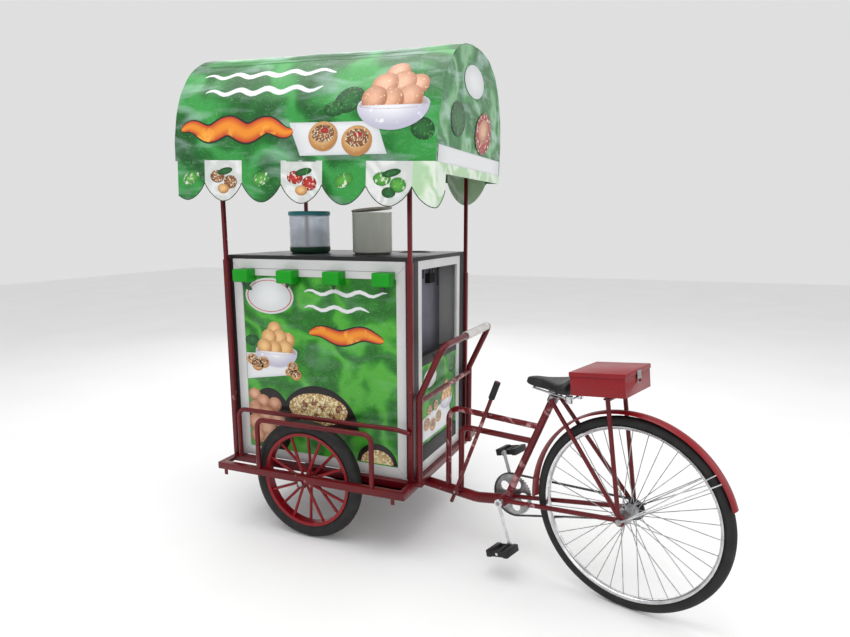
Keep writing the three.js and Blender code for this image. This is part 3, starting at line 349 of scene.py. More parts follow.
swept.label = "wall of the tube"
swept.inputs["Fill Caps"].default_value = True
solid = tube_tree.nodes.new("GeometryNodeRealizeInstances")
coated = tube_tree.nodes.new("GeometryNodeSetMaterial")
given = tube_tree.nodes.new("NodeGroupOutput")
tube_tree.links.new(asked.outputs["Centre line"], line.inputs["Mesh"])
tube_tree.links.new(line.outputs["Curve"], bends.inputs["Curve"])
tube_tree.links.new(asked.outputs["Bend radius"], bends.inputs["Radius"])
tube_tree.links.new(asked.outputs["Tube radius"], section.inputs["Radius"])
tube_tree.links.new(asked.outputs["Sides"], section.inputs["Resolution"])
tube_tree.links.new(bends.outputs["Curve"], swept.inputs["Curve"])
tube_tree.links.new(section.outputs["Curve"], swept.inputs["Profile Curve"])
tube_tree.links.new(swept.outputs["Mesh"], solid.inputs["Geometry"])
tube_tree.links.new(solid.outputs["Geometry"], coated.inputs["Geometry"])
tube_tree.links.new(asked.outputs["Finish"], coated.inputs["Material"])
tube_tree.links.new(coated.outputs["Geometry"], given.inputs["Tube"])
lay_out(tube_tree, {"centre line": [asked, line, bends], "wall": [section, swept],
                    "result": [solid, coated, given]})


def tube(corners, radius, bend=0.0, finish=None, sides=18):
    """One bent tube; corners in mm, joined by straight runs and bends."""
    seed = bpy.data.meshes.new("centre_line")
    seed.from_pydata([tuple(corner) for corner in corners], [(i, i + 1) for i in range(len(corners) - 1)], [])
    return grown(tube_tree, seed, {"Tube radius": float(radius), "Bend radius": float(max(bend, 0.01)),
                                   "Sides": sides, "Finish": finish or red_enamel})


SIDES = ((-1, "near"), (1, "far"))
GUARD_OUTER = {"y": 443, "top": 524, "front": -193, "rear": 371, "radius": 11}
GUARD_INNER = {"y": 352.5, "top": 530, "front": -361, "level_to": 440, "rear": 506, "dip": 11, "radius": 10}
GUARD_BEND = 35
RAIL_TOP = 300.3
for side, label in SIDES:
    y = side * GUARD_OUTER["y"]
    hoop = [(GUARD_OUTER["front"], y, RAIL_TOP), (GUARD_OUTER["front"], y, GUARD_OUTER["top"]),
            (GUARD_OUTER["rear"], y, GUARD_OUTER["top"]), (GUARD_OUTER["rear"], y, RAIL_TOP)]
    finished(f"wheel_guard_{label}", merged([tube(hoop, GUARD_OUTER["radius"], GUARD_BEND)], cart_place), "cart",
             red_enamel, (f"guard_outer_{label}",))
    y = side * GUARD_INNER["y"]
    hoop = [(GUARD_INNER["front"], y, RAIL_TOP), (GUARD_INNER["front"], y, GUARD_INNER["top"]),
            (GUARD_INNER["level_to"], y, GUARD_INNER["top"]),
            (GUARD_INNER["rear"], y, GUARD_INNER["top"] - GUARD_INNER["dip"])]
    finished(f"side_guard_{label}", merged([tube(hoop, GUARD_INNER["radius"], GUARD_BEND)], cart_place), "cart",
             red_enamel, (f"guard_inner_{label}",))

# Corner posts: a square tube with a thinner square tube slipped into its top.
for side, label in SIDES:
    for end in ("front", "rear"):
        made_solid(f"post_{label}_{end}", "cart", red_enamel, 1.5)

# ======================================================================================================
# Front wheels. A thick black tyre on a narrow channel rim, with round spokes welded to a plain hub in
# two planes; the hub turns on a steel pin held in the platform's bearing plates.
def turned(profile, segments=64, finish=None, along="Y", sweep=360.0, start=0.0):
    """A closed outline of (radius, height) pairs spun round an axis, in mm."""
    shape = bmesh.new()
    full = sweep >= 360
    count = segments if full else segments + 1
    rings = []
    for k in range(count):
        angle = math.radians(start + sweep * k / segments)
        ring = []
        for radius, height in profile:
            x, z = radius * math.cos(angle), radius * math.sin(angle)
            spot = (x, height, z) if along == "Y" else (x, z, height)
            ring.append(shape.verts.new(spot))
        rings.append(ring)
    size = len(profile)
    for k in range(segments):
        this, following = rings[k], rings[(k + 1) % count]
        for i in range(size):
            j = (i + 1) % size
            shape.faces.new((this[i], this[j], following[j], following[i]))
    if not full:
        shape.faces.new(rings[0])
        shape.faces.new(list(reversed(rings[-1])))
    bmesh.ops.remove_doubles(shape, verts=shape.verts, dist=0.0005)
    thin = [face for face in shape.faces if face.calc_area() < 1e-7]
    bmesh.ops.delete(shape, geom=thin, context="FACES_ONLY")
    bmesh.ops.recalc_face_normals(shape, faces=shape.faces)
    mesh = bpy.data.meshes.new("turned")
    shape.to_mesh(mesh)
    shape.free()
    if finish:
        mesh.materials.append(finish)
    return mesh


ring_tree = bpy.data.node_groups.new("Copies round an axle", "GeometryNodeTree")
for label, kind in (("Piece", "NodeSocketGeometry"), ("Copies", "NodeSocketInt"),
                    ("First angle", "NodeSocketFloat"), ("Finish", "NodeSocketMaterial")):
    ring_tree.interface.new_socket(label, in_out="INPUT", socket_type=kind)
ring_tree.interface.new_socket("Ring", in_out="OUTPUT", socket_type="NodeSocketGeometry")
asked = ring_tree.nodes.new("NodeGroupInput")
spots = ring_tree.nodes.new("GeometryNodePoints")
spots.label = "one point for each copy, on the axle"
number = ring_tree.nodes.new("GeometryNodeInputIndex")
share = ring_tree.nodes.new("ShaderNodeMath")
share.label = "which part of the turn"
share.operation = "DIVIDE"
angle = ring_tree.nodes.new("ShaderNodeMath")
angle.label = "angle of this copy"
angle.operation = "MULTIPLY_ADD"
angle.inputs[1].default_value = 2 * math.pi
turn = ring_tree.nodes.new("ShaderNodeCombineXYZ")
turn.label = "turn about the axle"
copies = ring_tree.nodes.new("GeometryNodeInstanceOnPoints")
solid = ring_tree.nodes.new("GeometryNodeRealizeInstances")
coated = ring_tree.nodes.new("GeometryNodeSetMaterial")
given = ring_tree.nodes.new("NodeGroupOutput")
ring_tree.links.new(asked.outputs["Copies"], spots.inputs["Count"])
ring_tree.links.new(number.outputs["Index"], share.inputs[0])
ring_tree.links.new(asked.outputs["Copies"], share.inputs[1])
ring_tree.links.new(share.outputs["Value"], angle.inputs[0])
ring_tree.links.new(asked.outputs["First angle"], angle.inputs[2])
ring_tree.links.new(angle.outputs["Value"], turn.inputs["Y"])
ring_tree.links.new(spots.outputs["Points"], copies.inputs["Points"])
ring_tree.links.new(asked.outputs["Piece"], copies.inputs["Instance"])
ring_tree.links.new(turn.outputs["Vector"], copies.inputs["Rotation"])
ring_tree.links.new(copies.outputs["Instances"], solid.inputs["Geometry"])
ring_tree.links.new(solid.outputs["Geometry"], coated.inputs["Geometry"])
ring_tree.links.new(asked.outputs["Finish"], coated.inputs["Material"])
ring_tree.links.new(coated.outputs["Geometry"], given.inputs["Ring"])
lay_out(ring_tree, {"angles": [asked, number, share, angle, turn], "copies": [spots, copies],
                    "result": [solid, coated, given]})


def ring_of(piece, count, finish, first=0.0):
    return grown(ring_tree, piece, {"Copies": count, "First angle": first, "Finish": finish})


def block(x0, x1, y0, y1, z0, z1, finish=None):
    """A plain block between its limits along x, y and z, in mm."""
    corners = [(x, y, z) for x in (x0, x1) for y in (y0, y1) for z in (z0, z1)]
    faces = [(0, 1, 3, 2), (4, 6, 7, 5), (0, 4, 5, 1), (2, 3, 7, 6), (0, 2, 6, 4), (1, 5, 7, 3)]
    mesh = bpy.data.meshes.new("block")
    mesh.from_pydata(corners, [], faces)
    if finish:
        mesh.materials.append(finish)
    return mesh


def rubber(name, colour, grit, roughness):
    """Moulded rubber: near black, dusty in random patches, with a fine sandy grain."""
    material = bpy.data.materials.new(name)
    material.use_nodes = True
    tree = material.node_tree
    tree.nodes.clear()
    place = tree.nodes.new("ShaderNodeTexCoord")
    place.label = "place on the part"
    bloom = tree.nodes.new("ShaderNodeTexNoise")
    bloom.label = "dusty bloom"
    bloom.inputs["Scale"].default_value = 24
    bloom.inputs["Detail"].default_value = 5
    tone = tree.nodes.new("ShaderNodeValToRGB")
    tone.label = "black to dusty"
    tone.color_ramp.elements[0].position = 0.4
    tone.color_ramp.elements[0].color = (*colour, 1)
    tone.color_ramp.elements[1].position = 0.8
    tone.color_ramp.elements[1].color = (colour[0] * 2.4, colour[1] * 2.3, colour[2] * 2.2, 1)
    grain = tree.nodes.new("ShaderNodeTexNoise")
    grain.label = "moulded grain"
    grain.inputs["Scale"].default_value = grit
    bump = tree.nodes.new("ShaderNodeBump")
    bump.label = "grain relief"
    bump.inputs["Strength"].default_value = 0.35
    bump.inputs["Distance"].default_value = 0.0005
    surface = tree.nodes.new("ShaderNodeBsdfPrincipled")
    surface.label = "rubber"
    surface.inputs["Roughness"].default_value = roughness
    surface.inputs["Specular IOR Level"].default_value = 0.35
    out = tree.nodes.new("ShaderNodeOutputMaterial")
    tree.links.new(place.outputs["Object"], bloom.inputs["Vector"])
    tree.links.new(place.outputs["Object"], grain.inputs["Vector"])
    tree.links.new(bloom.outputs["Fac"], tone.inputs["Fac"])
    tree.links.new(tone.outputs["Color"], surface.inputs["Base Color"])
    tree.links.new(grain.outputs["Fac"], bump.inputs["Height"])
    tree.links.new(bump.outputs["Normal"], surface.inputs["Normal"])
    tree.links.new(surface.outputs["BSDF"], out.inputs["Surface"])
    lay_out(tree, {"colour": [place, bloom, tone], "grain": [grain, bump], "rubber": [surface, out]})
    return material


tyre_rubber = rubber("tyre_rubber", (0.009, 0.009, 0.009), 500, 0.62)
grip_rubber = rubber("grip_rubber", (0.007, 0.007, 0.007), 900, 0.5)


def metal(name, colour, roughness, grime, grain_scale, metallic=1.0):
    """Plated or bare metal with wipe marks and grime that dulls it in patches."""
    material = bpy.data.materials.new(name)
    material.use_nodes = True
    tree = material.node_tree
    tree.nodes.clear()
    place = tree.nodes.new("ShaderNodeTexCoord")
    place.label = "place on the part"
    stain = tree.nodes.new("ShaderNodeTexNoise")
    stain.label = "grime"
    stain.inputs["Scale"].default_value = 32
    stain.inputs["Detail"].default_value = 6
    tone = tree.nodes.new("ShaderNodeValToRGB")
    tone.label = "clean to grimy"
    tone.color_ramp.elements[0].position = 0.42
    tone.color_ramp.elements[0].color = (*colour, 1)
    tone.color_ramp.elements[1].position = 0.78
    tone.color_ramp.elements[1].color = (*[c * (1 - grime) for c in colour], 1)
    gloss = tree.nodes.new("ShaderNodeMapRange")
    gloss.label = "duller in the grime"
    gloss.inputs["From Min"].default_value = 0.35
    gloss.inputs["From Max"].default_value = 0.8
    gloss.inputs["To Min"].default_value = roughness
    gloss.inputs["To Max"].default_value = roughness + 0.25
    marks = tree.nodes.new("ShaderNodeTexNoise")
    marks.label = "fine drawing marks"
    marks.inputs["Scale"].default_value = grain_scale
    bump = tree.nodes.new("ShaderNodeBump")
    bump.label = "marks in relief"
    bump.inputs["Strength"].default_value = 0.1
    bump.inputs["Distance"].default_value = 0.0003
    surface = tree.nodes.new("ShaderNodeBsdfPrincipled")
    surface.label = "metal"
    surface.inputs["Metallic"].default_value = metallic
    out = tree.nodes.new("ShaderNodeOutputMaterial")
    tree.links.new(place.outputs["Object"], stain.inputs["Vector"])
    tree.links.new(place.outputs["Object"], marks.inputs["Vector"])
    tree.links.new(stain.outputs["Fac"], tone.inputs["Fac"])
    tree.links.new(tone.outputs["Color"], surface.inputs["Base Color"])
    tree.links.new(stain.outputs["Fac"], gloss.inputs["Value"])
    tree.links.new(gloss.outputs["Result"], surface.inputs["Roughness"])
    tree.links.new(marks.outputs["Fac"], bump.inputs["Height"])
    tree.links.new(bump.outputs["Normal"], surface.inputs["Normal"])
    tree.links.new(surface.outputs["BSDF"], out.inputs["Surface"])
    lay_out(tree, {"colour": [place, stain, tone], "gloss": [gloss, marks, bump], "metal": [surface, out]})
    return material


bare_steel = metal("bare_steel", (0.42, 0.42, 0.43), 0.38, 0.5, 300)
chrome_plate = metal("chrome_plate", (0.72, 0.72, 0.74), 0.12, 0.35, 500)
dark_steel = metal("dark_oiled_steel", (0.10, 0.10, 0.105), 0.4, 0.4, 300)

FRONT_WHEEL = {"x": 31, "y": 393, "z": 266, "radius": 266, "section": 28, "rim": 212, "spokes": 16}


def tyre_outline(radius, section, rim, tread, ribs):
    """Half-round carcass with a slightly flattened, ribbed tread, from bead to bead."""
    centre = radius - section - tread
    outline = [(rim + 0.4, -section * 0.62)]
    for step in range(0, 29):
        theta = math.radians(-140 + 10 * step)
        lift = tread if abs(theta) < math.radians(42) and step % 2 == ribs else 0
        outline.append((max(centre + (section + lift) * math.cos(theta), rim + 0.4), section * math.sin(theta)))
    outline.append((rim + 0.4, section * 0.62))
    return outline


for side, label in SIDES:
    hub_place = cart_place @ Matrix.Translation((FRONT_WHEEL["x"], side * FRONT_WHEEL["y"], FRONT_WHEEL["z"]))
    carcass = turned(tyre_outline(FRONT_WHEEL["radius"], FRONT_WHEEL["section"], FRONT_WHEEL["rim"], 1.6, 0), 96,
                     tyre_rubber)
    finished(f"cart_tyre_{label}", merged([carcass], hub_place), f"wheel_{label}", tyre_rubber,
             (f"front_tyre_{label}",), 50)
    rim = FRONT_WHEEL["rim"]
    channel = [(rim - 14, -20), (rim - 6, -22), (rim, -22), (rim, -19), (rim - 4, -17), (rim - 9, -10), (rim - 9, 10),
               (rim - 4, 17), (rim, 19), (rim, 22), (rim - 6, 22), (rim - 14, 20), (rim - 15, 10), (rim - 15, -10)]
    hub = [(8.6, -34), (22, -34), (24, -32), (24, -22), (18, -18), (18, 18), (24, 22), (24, 32), (22, 34), (8.6, 34)]
    spoke_sets = []
    for plane, first in ((1, 0.0), (-1, math.pi / 8)):
        spoke = tube([(20, 25 * plane, 0), (rim - 12, 8 * plane, 0)], 6.5, 0, red_bright, 12)
        spoke_sets.append(ring_of(spoke, FRONT_WHEEL["spokes"] // 2, red_bright, first))
    finished(f"cart_rim_{label}", merged([turned(channel, 96), turned(hub, 32), *spoke_sets], hub_place),
             f"wheel_{label}", red_bright, (f"front_rim_{label}",), 40)
    pin = [(0.01, -62), (7, -62), (8, -60), (8, 60), (7, 62), (0.01, 62)]
    end_cap = [(0.01, 60.5), (11, 60.5), (13, 62), (13, 65), (10, 68), (0.01, 68)]
    pin_mesh = turned(pin, 24) if side > 0 else turned([(r, -h) for r, h in pin], 24)
    cap_mesh = turned([(r, side * h) for r, h in end_cap], 6)
    pin_place = cart_place @ Matrix.Translation((FRONT_WHEEL["x"], side * 396, FRONT_WHEEL["z"]))
    finished(f"wheel_pin_{label}", merged([pin_mesh, cap_mesh], pin_place), "cart", bare_steel,
             (f"axle_{label}",))

# ======================================================================================================
# Cabinet shell. Black painted corner posts and rails carry white laminated boards; the rear has an open
# upper compartment with a grey back board, and a printed panel under the black lock rail.
def coated_board(name, colour, shade, speck, roughness, mark_scale=40):
    """Painted or laminated board: almost even colour, faint smears, a little unevenness in the gloss."""
    material = bpy.data.materials.new(name)
    material.use_nodes = True
    tree = material.node_tree
    tree.nodes.clear()
    place = tree.nodes.new("ShaderNodeTexCoord")
    place.label = "place on the part"
    smear = tree.nodes.new("ShaderNodeTexNoise")
    smear.label = "smears and handling marks"
    smear.inputs["Scale"].default_value = 7
    smear.inputs["Detail"].default_value = 7
    smear.inputs["Distortion"].default_value = 0.8
    tone = tree.nodes.new("ShaderNodeValToRGB")
    tone.label = "clean to smeared"
    tone.color_ramp.elements[0].position = 0.38
    tone.color_ramp.elements[0].color = (*colour, 1)
    tone.color_ramp.elements[1].position = 0.82
    tone.color_ramp.elements[1].color = (*shade, 1)
    specks = tree.nodes.new("ShaderNodeTexVoronoi")
    specks.label = "dust specks"
    specks.inputs["Scale"].default_value = 190
    speck_cut = tree.nodes.new("ShaderNodeValToRGB")
    speck_cut.label = "small ones only"
    speck_cut.color_ramp.elements[0].position = 0.05
    speck_cut.color_ramp.elements[0].color = (1, 1, 1, 1)
    speck_cut.color_ramp.elements[1].position = 0.11
    speck_cut.color_ramp.elements[1].color = (0, 0, 0, 1)
    dusted = tree.nodes.new("ShaderNodeMix")
    dusted.label = "specks over board"
    dusted.data_type = "RGBA"
    dusted.inputs[7].default_value = (*speck, 1)
    gloss = tree.nodes.new("ShaderNodeMapRange")
    gloss.label = "smears dull the gloss"
    gloss.inputs["To Min"].default_value = roughness - 0.08
    gloss.inputs["To Max"].default_value = roughness + 0.16
    relief = tree.nodes.new("ShaderNodeTexNoise")
    relief.label = "faint waviness"
    relief.inputs["Scale"].default_value = mark_scale
    bump = tree.nodes.new("ShaderNodeBump")
    bump.label = "waviness in relief"
    bump.inputs["Strength"].default_value = 0.08
    bump.inputs["Distance"].default_value = 0.001
    surface = tree.nodes.new("ShaderNodeBsdfPrincipled")
    surface.label = "board"
    surface.inputs["Specular IOR Level"].default_value = 0.3
    out = tree.nodes.new("ShaderNodeOutputMaterial")
    for texture in (smear, specks, relief):
        tree.links.new(place.outputs["Object"], texture.inputs["Vector"])
    tree.links.new(smear.outputs["Fac"], tone.inputs["Fac"])
    tree.links.new(specks.outputs["Distance"], speck_cut.inputs["Fac"])
    tree.links.new(speck_cut.outputs["Color"], dusted.inputs[0])
    tree.links.new(tone.outputs["Color"], dusted.inputs[6])
    tree.links.new(dusted.outputs[2], surface.inputs["Base Color"])
    tree.links.new(smear.outputs["Fac"], gloss.inputs["Value"])
    tree.links.new(gloss.outputs["Result"], surface.inputs["Roughness"])
    tree.links.new(relief.outputs["Fac"], bump.inputs["Height"])
    tree.links.new(bump.outputs["Normal"], surface.inputs["Normal"])
    tree.links.new(surface.outputs["BSDF"], out.inputs["Surface"])
    lay_out(tree, {"colour": [place, smear, tone], "dust": [specks, speck_cut, dusted],
                   "gloss and relief": [gloss, relief, bump], "board": [surface, out]})
    return material


black_paint = coated_board("black_paint", (0.012, 0.012, 0.013), (0.022, 0.021, 0.021), (0.05, 0.05, 0.05), 0.42)
white_board = coated_board("white_laminate", (0.62, 0.62, 0.62), (0.55, 0.55, 0.555), (0.45, 0.45, 0.45), 0.34, 18)
grey_board = coated_board("grey_back_board", (0.20, 0.19, 0.235), (0.16, 0.15, 0.19), (0.12, 0.12, 0.13), 0.4)
tap_green = coated_board("tap_green", (0.002, 0.30, 0.006), (0.002, 0.24, 0.005), (0.006, 0.31, 0.01), 0.36)
grey_plastic = coated_board("grey_plastic", (0.24, 0.235, 0.225), (0.19, 0.185, 0.18), (0.3, 0.3, 0.29), 0.5)

for node, finish, edge, slot in (
        ("cabinet_frame", black_paint, 1.2, "black_paint"), ("near_frame", white_board, 1.5, "white_laminate"),
        ("far_panel", white_board, 1.5, "white_laminate"), ("front_panel", white_board, 1.5, "white_laminate"),
        ("rear_frame_white", white_board, 1.5, "white_laminate"), ("counter_top", black_paint, 1.5, "black_paint"),
        ("compartment_back", grey_board, 0.8, "grey_plastic")):
    made_solid(node, "cart", finish, edge)

NEAR_WINDOW = {"x": (-334, 430), "z": (346, 1144)}
joint_lines = [block(*NEAR_WINDOW["x"], -314.35, -313.5, 1174, 1176)]
for x, z, lean in ((-357, 324, 45), (451, 324, -45), (-357, 1180, -45), (451, 1180, 45)):
    mitre = block(-31, 31, -0.35, 0.35, -0.5, 0.5)
    mitre.transform(Matrix.Translation((x, -314.0, z)) @ Matrix.Rotation(math.radians(-lean), 4, "Y"))
    joint_lines.append(mitre)
finished("board_joints", merged(joint_lines, cart_place), "cart", grey_board, (), 30)

# ======================================================================================================
# Printed sheets. Glossy vinyl printed with green swirls and pictures of snacks, glued to the boards; no
# words. The pictures are laid on as thin inked shapes, each a hair above the one under it.
def printed_vinyl(name, deep, middle, pale, coordinates, scale, gloss_film, ridge=0.0):
    """Green swirl print under a gloss coat.

    gloss_film is how milky the film over it is, and ridge how much painted highlight is added near the ridge of the
    arch: a milky sheen that stands in for light on the top.
    """
    material = bpy.data.materials.new(name)
    material.use_nodes = True
    tree = material.node_tree
    tree.nodes.clear()
    place = tree.nodes.new("ShaderNodeTexCoord")
    place.label = "place on the sheet"
    flow = tree.nodes.new("ShaderNodeTexNoise")
    flow.label = "how the swirls wander"
    flow.inputs["Scale"].default_value = 1.9 * scale
    flow.inputs["Detail"].default_value = 2
    wander = tree.nodes.new("ShaderNodeMix")
    wander.label = "bend the print"
    wander.data_type = "VECTOR"
    wander.inputs[0].default_value = 0.42
    bands = tree.nodes.new("ShaderNodeTexWave")
    bands.label = "swirls"
    bands.bands_direction = "DIAGONAL"
    bands.inputs["Scale"].default_value = 1.5 * scale
    bands.inputs["Distortion"].default_value = 5
    bands.inputs["Detail"].default_value = 3
    bands.inputs["Detail Scale"].default_value = 1.4
    ink = tree.nodes.new("ShaderNodeValToRGB")
    ink.label = "three greens"
    ink.color_ramp.elements[0].color = (*deep, 1)
    ink.color_ramp.elements[1].position = 0.97
    ink.color_ramp.elements[1].color = (*pale, 1)
    step = ink.color_ramp.elements.new(0.55)
    step.color = (*middle, 1)
    wisps = tree.nodes.new("ShaderNodeTexNoise")
    wisps.label = "thin pale wisps"
    wisps.inputs["Scale"].default_value = 8 * scale
    wisps.inputs["Detail"].default_value = 2
    wisps.inputs["Distortion"].default_value = 3.5
    wisp_cut = tree.nodes.new("ShaderNodeValToRGB")
    wisp_cut.label = "only their edges"
    wisp_cut.color_ramp.elements[0].position = 0.485
    wisp_cut.color_ramp.elements[1].position = 0.515
    wisp_cut.color_ramp.elements[1].color = (0, 0, 0, 1)
    crest = wisp_cut.color_ramp.elements.new(0.5)
    crest.color = (0.28, 0.28, 0.28, 1)
    print_mix = tree.nodes.new("ShaderNodeMix")
    print_mix.label = "wisps over swirls"
    print_mix.data_type = "RGBA"
    print_mix.inputs[7].default_value = (0.24, 0.58, 0.26, 1)
    pull = tree.nodes.new("ShaderNodeMapping")
    pull.label = "film pulled lengthwise"
    pull.inputs["Scale"].default_value = (0.7, 2.2, 2.2)
    film = tree.nodes.new("ShaderNodeTexNoise")
    film.label = "folds of the clear film"
    film.inputs["Scale"].default_value = 3.4 * scale
    film.inputs["Detail"].default_value = 8
    film.inputs["Distortion"].default_value = 0.7
    film_cut = tree.nodes.new("ShaderNodeValToRGB")
    film_cut.label = "milky where it lifts"
    film_cut.color_ramp.elements[0].position = 0.50
    film_cut.color_ramp.elements[1].position = 0.80
    film_cut.color_ramp.elements[1].color = (gloss_film, gloss_film, gloss_film, 1)
    across = tree.nodes.new("ShaderNodeSeparateXYZ")
    across.label = "how far over the arch"
    from_ridge = tree.nodes.new("ShaderNodeMath")
    from_ridge.label = "distance from the ridge"
    from_ridge.operation = "SUBTRACT"
    from_ridge.inputs[1].default_value = 0.72
    either_way = tree.nodes.new("ShaderNodeMath")
    either_way.label = "on either side"
    either_way.operation = "ABSOLUTE"
    # Painted highlight: near the ridge of the arch the milky film colour is pushed up, standing in for the sheen of
    # light on the top.
    top_glare = tree.nodes.new("ShaderNodeMapRange")
    top_glare.label = "painted highlight near the ridge"
    top_glare.inputs["From Min"].default_value = 0.05
    top_glare.inputs["From Max"].default_value = 0.34
    top_glare.inputs["To Min"].default_value = ridge
    top_glare.inputs["To Max"].default_value = 0
    film_and_ridge_highlight = tree.nodes.new("ShaderNodeMath")
    film_and_ridge_highlight.label = "loose film plus painted ridge highlight"
    film_and_ridge_highlight.operation = "ADD"
    milky = tree.nodes.new("ShaderNodeMix")
    milky.label = "film over print"
    milky.data_type = "RGBA"
    milky.inputs[7].default_value = (0.52, 0.68, 0.66, 1)
    bump = tree.nodes.new("ShaderNodeBump")
    bump.label = "creases in the film"
    bump.inputs["Strength"].default_value = 0.25 + 0.4 * gloss_film
    bump.inputs["Distance"].default_value = 0.004
    surface = tree.nodes.new("ShaderNodeBsdfPrincipled")
    surface.label = "vinyl"
    surface.inputs["Roughness"].default_value = 0.36
    surface.inputs["Specular IOR Level"].default_value = 0.3
    surface.inputs["Coat Weight"].default_value = 0.2
    surface.inputs["Coat Roughness"].default_value = 0.12
    out = tree.nodes.new("ShaderNodeOutputMaterial")
    for texture in (flow, wisps, pull):
        tree.links.new(place.outputs[coordinates], texture.inputs["Vector"])
    tree.links.new(pull.outputs["Vector"], film.inputs["Vector"])
    tree.links.new(place.outputs[coordinates], wander.inputs[4])
    tree.links.new(flow.outputs["Color"], wander.inputs[5])
    tree.links.new(wander.outputs[1], bands.inputs["Vector"])
    tree.links.new(bands.outputs["Fac"], ink.inputs["Fac"])
    tree.links.new(ink.outputs["Color"], print_mix.inputs[6])
    tree.links.new(wisps.outputs["Fac"], wisp_cut.inputs["Fac"])
    tree.links.new(wisp_cut.outputs["Color"], print_mix.inputs[0])
    tree.links.new(place.outputs[coordinates], across.inputs["Vector"])
    tree.links.new(across.outputs["Y"], from_ridge.inputs[0])
    tree.links.new(from_ridge.outputs["Value"], either_way.inputs[0])
    tree.links.new(either_way.outputs["Value"], top_glare.inputs["Value"])
    tree.links.new(film.outputs["Fac"], film_and_ridge_highlight.inputs[0])
    tree.links.new(top_glare.outputs["Result"], film_and_ridge_highlight.inputs[1])
    tree.links.new(film_and_ridge_highlight.outputs["Value"], film_cut.inputs["Fac"])
    tree.links.new(film_cut.outputs["Color"], milky.inputs[0])
    tree.links.new(print_mix.outputs[2], milky.inputs[6])
    tree.links.new(milky.outputs[2], surface.inputs["Base Color"])
    tree.links.new(film.outputs["Fac"], bump.inputs["Height"])
    tree.links.new(bump.outputs["Normal"], surface.inputs["Normal"])
    tree.links.new(surface.outputs["BSDF"], out.inputs["Surface"])
    lay_out(tree, {"swirls": [place, flow, wander, bands, ink], "wisps": [wisps, wisp_cut, print_mix],
                   "clear film": [pull, film, film_cut, milky, bump],
                   "painted highlight at the ridge": [across, from_ridge, either_way, top_glare, film_and_ridge_highlight], "vinyl": [surface, out]})
    return material


def ink(name, middle, edge, mottle, mottle_scale=60, cut=0.62):
    """One printed colour, darker towards the rim of the shape, mottled with a second colour."""
    material = bpy.data.materials.new(name)
    material.use_nodes = True
    tree = material.node_tree
    tree.nodes.clear()
    rim = tree.nodes.new("ShaderNodeAttribute")
    rim.label = "how near the shape's rim"
    rim.attribute_name = "rim"
    shade = tree.nodes.new("ShaderNodeValToRGB")
    shade.label = "middle to rim"
    shade.color_ramp.elements[0].position = 0.25
    shade.color_ramp.elements[0].color = (*middle, 1)
    shade.color_ramp.elements[1].color = (*edge, 1)
    place = tree.nodes.new("ShaderNodeTexCoord")
    place.label = "place on the sheet"
    blots = tree.nodes.new("ShaderNodeTexNoise")
    blots.label = "blots"
    blots.inputs["Scale"].default_value = mottle_scale
    blots.inputs["Detail"].default_value = 4
    blot_cut = tree.nodes.new("ShaderNodeValToRGB")
    blot_cut.label = "edge of each blot"
    blot_cut.color_ramp.elements[0].position = cut
    blot_cut.color_ramp.elements[1].position = cut + 0.08
    mixed = tree.nodes.new("ShaderNodeMix")
    mixed.label = "blots over ink"
    mixed.data_type = "RGBA"
    mixed.inputs[7].default_value = (*mottle, 1)
    surface = tree.nodes.new("ShaderNodeBsdfPrincipled")
    surface.label = "ink under gloss"
    surface.inputs["Roughness"].default_value = 0.34
    surface.inputs["Specular IOR Level"].default_value = 0.3
    surface.inputs["Coat Weight"].default_value = 0.2
    surface.inputs["Coat Roughness"].default_value = 0.14
    out = tree.nodes.new("ShaderNodeOutputMaterial")
    tree.links.new(rim.outputs["Fac"], shade.inputs["Fac"])
    tree.links.new(place.outputs["Object"], blots.inputs["Vector"])
    tree.links.new(blots.outputs["Fac"], blot_cut.inputs["Fac"])
    tree.links.new(blot_cut.outputs["Color"], mixed.inputs[0])
    tree.links.new(shade.outputs["Color"], mixed.inputs[6])
    tree.links.new(mixed.outputs[2], surface.inputs["Base Color"])
    tree.links.new(surface.outputs["BSDF"], out.inputs["Surface"])
    lay_out(tree, {"shape": [rim, shade], "blots": [place, blots, blot_cut, mixed], "ink": [surface, out]})
    return material


INK = {
    "puff": ink("ink_puff", (0.80, 0.50, 0.22), (0.44, 0.20, 0.065), (0.88, 0.62, 0.34), 90),
    "rosy": ink("ink_rosy_puff", (0.72, 0.40, 0.26), (0.36, 0.14, 0.07), (0.84, 0.56, 0.40), 90),
    "bowl": ink("ink_bowl", (0.76, 0.76, 0.80), (0.48, 0.47, 0.58), (0.80, 0.80, 0.84), 30),
    "hollow": ink("ink_bowl_hollow", (0.30, 0.20, 0.14), (0.42, 0.36, 0.36), (0.2, 0.12, 0.08), 60),
    "paper": ink("ink_paper", (0.74, 0.75, 0.76), (0.60, 0.62, 0.64), (0.66, 0.68, 0.68), 20, 0.7),
    "filling": ink("ink_filling", (0.28, 0.10, 0.04), (0.16, 0.05, 0.02), (0.70, 0.62, 0.42), 150, 0.52),
    "leaf": ink("ink_leaf", (0.02, 0.13, 0.03), (0.006, 0.05, 0.012), (0.05, 0.24, 0.05), 80, 0.56),
    "pan": ink("ink_dark_pan", (0.03, 0.016, 0.012), (0.006, 0.005, 0.005), (0.05, 0.03, 0.02), 20),
    "noodle": ink("ink_noodle", (0.66, 0.52, 0.24), (0.40, 0.22, 0.07), (0.84, 0.76, 0.50), 110, 0.5),
    "orange": ink("ink_orange", (0.80, 0.26, 0.02), (0.50, 0.03, 0.015), (0.86, 0.36, 0.04), 12, 0.6),
    "outline": ink("ink_outline", (0.012, 0.03, 0.014), (0.008, 0.02, 0.01), (0.02, 0.04, 0.02), 40),
    "chilli": ink("ink_chilli", (0.50, 0.03, 0.02), (0.24, 0.015, 0.012), (0.78, 0.66, 0.60), 70, 0.55),
    "lime": ink("ink_lime", (0.10, 0.40, 0.05), (0.03, 0.20, 0.03), (0.70, 0.72, 0.60), 60, 0.55),
}
LAYER = 0.16


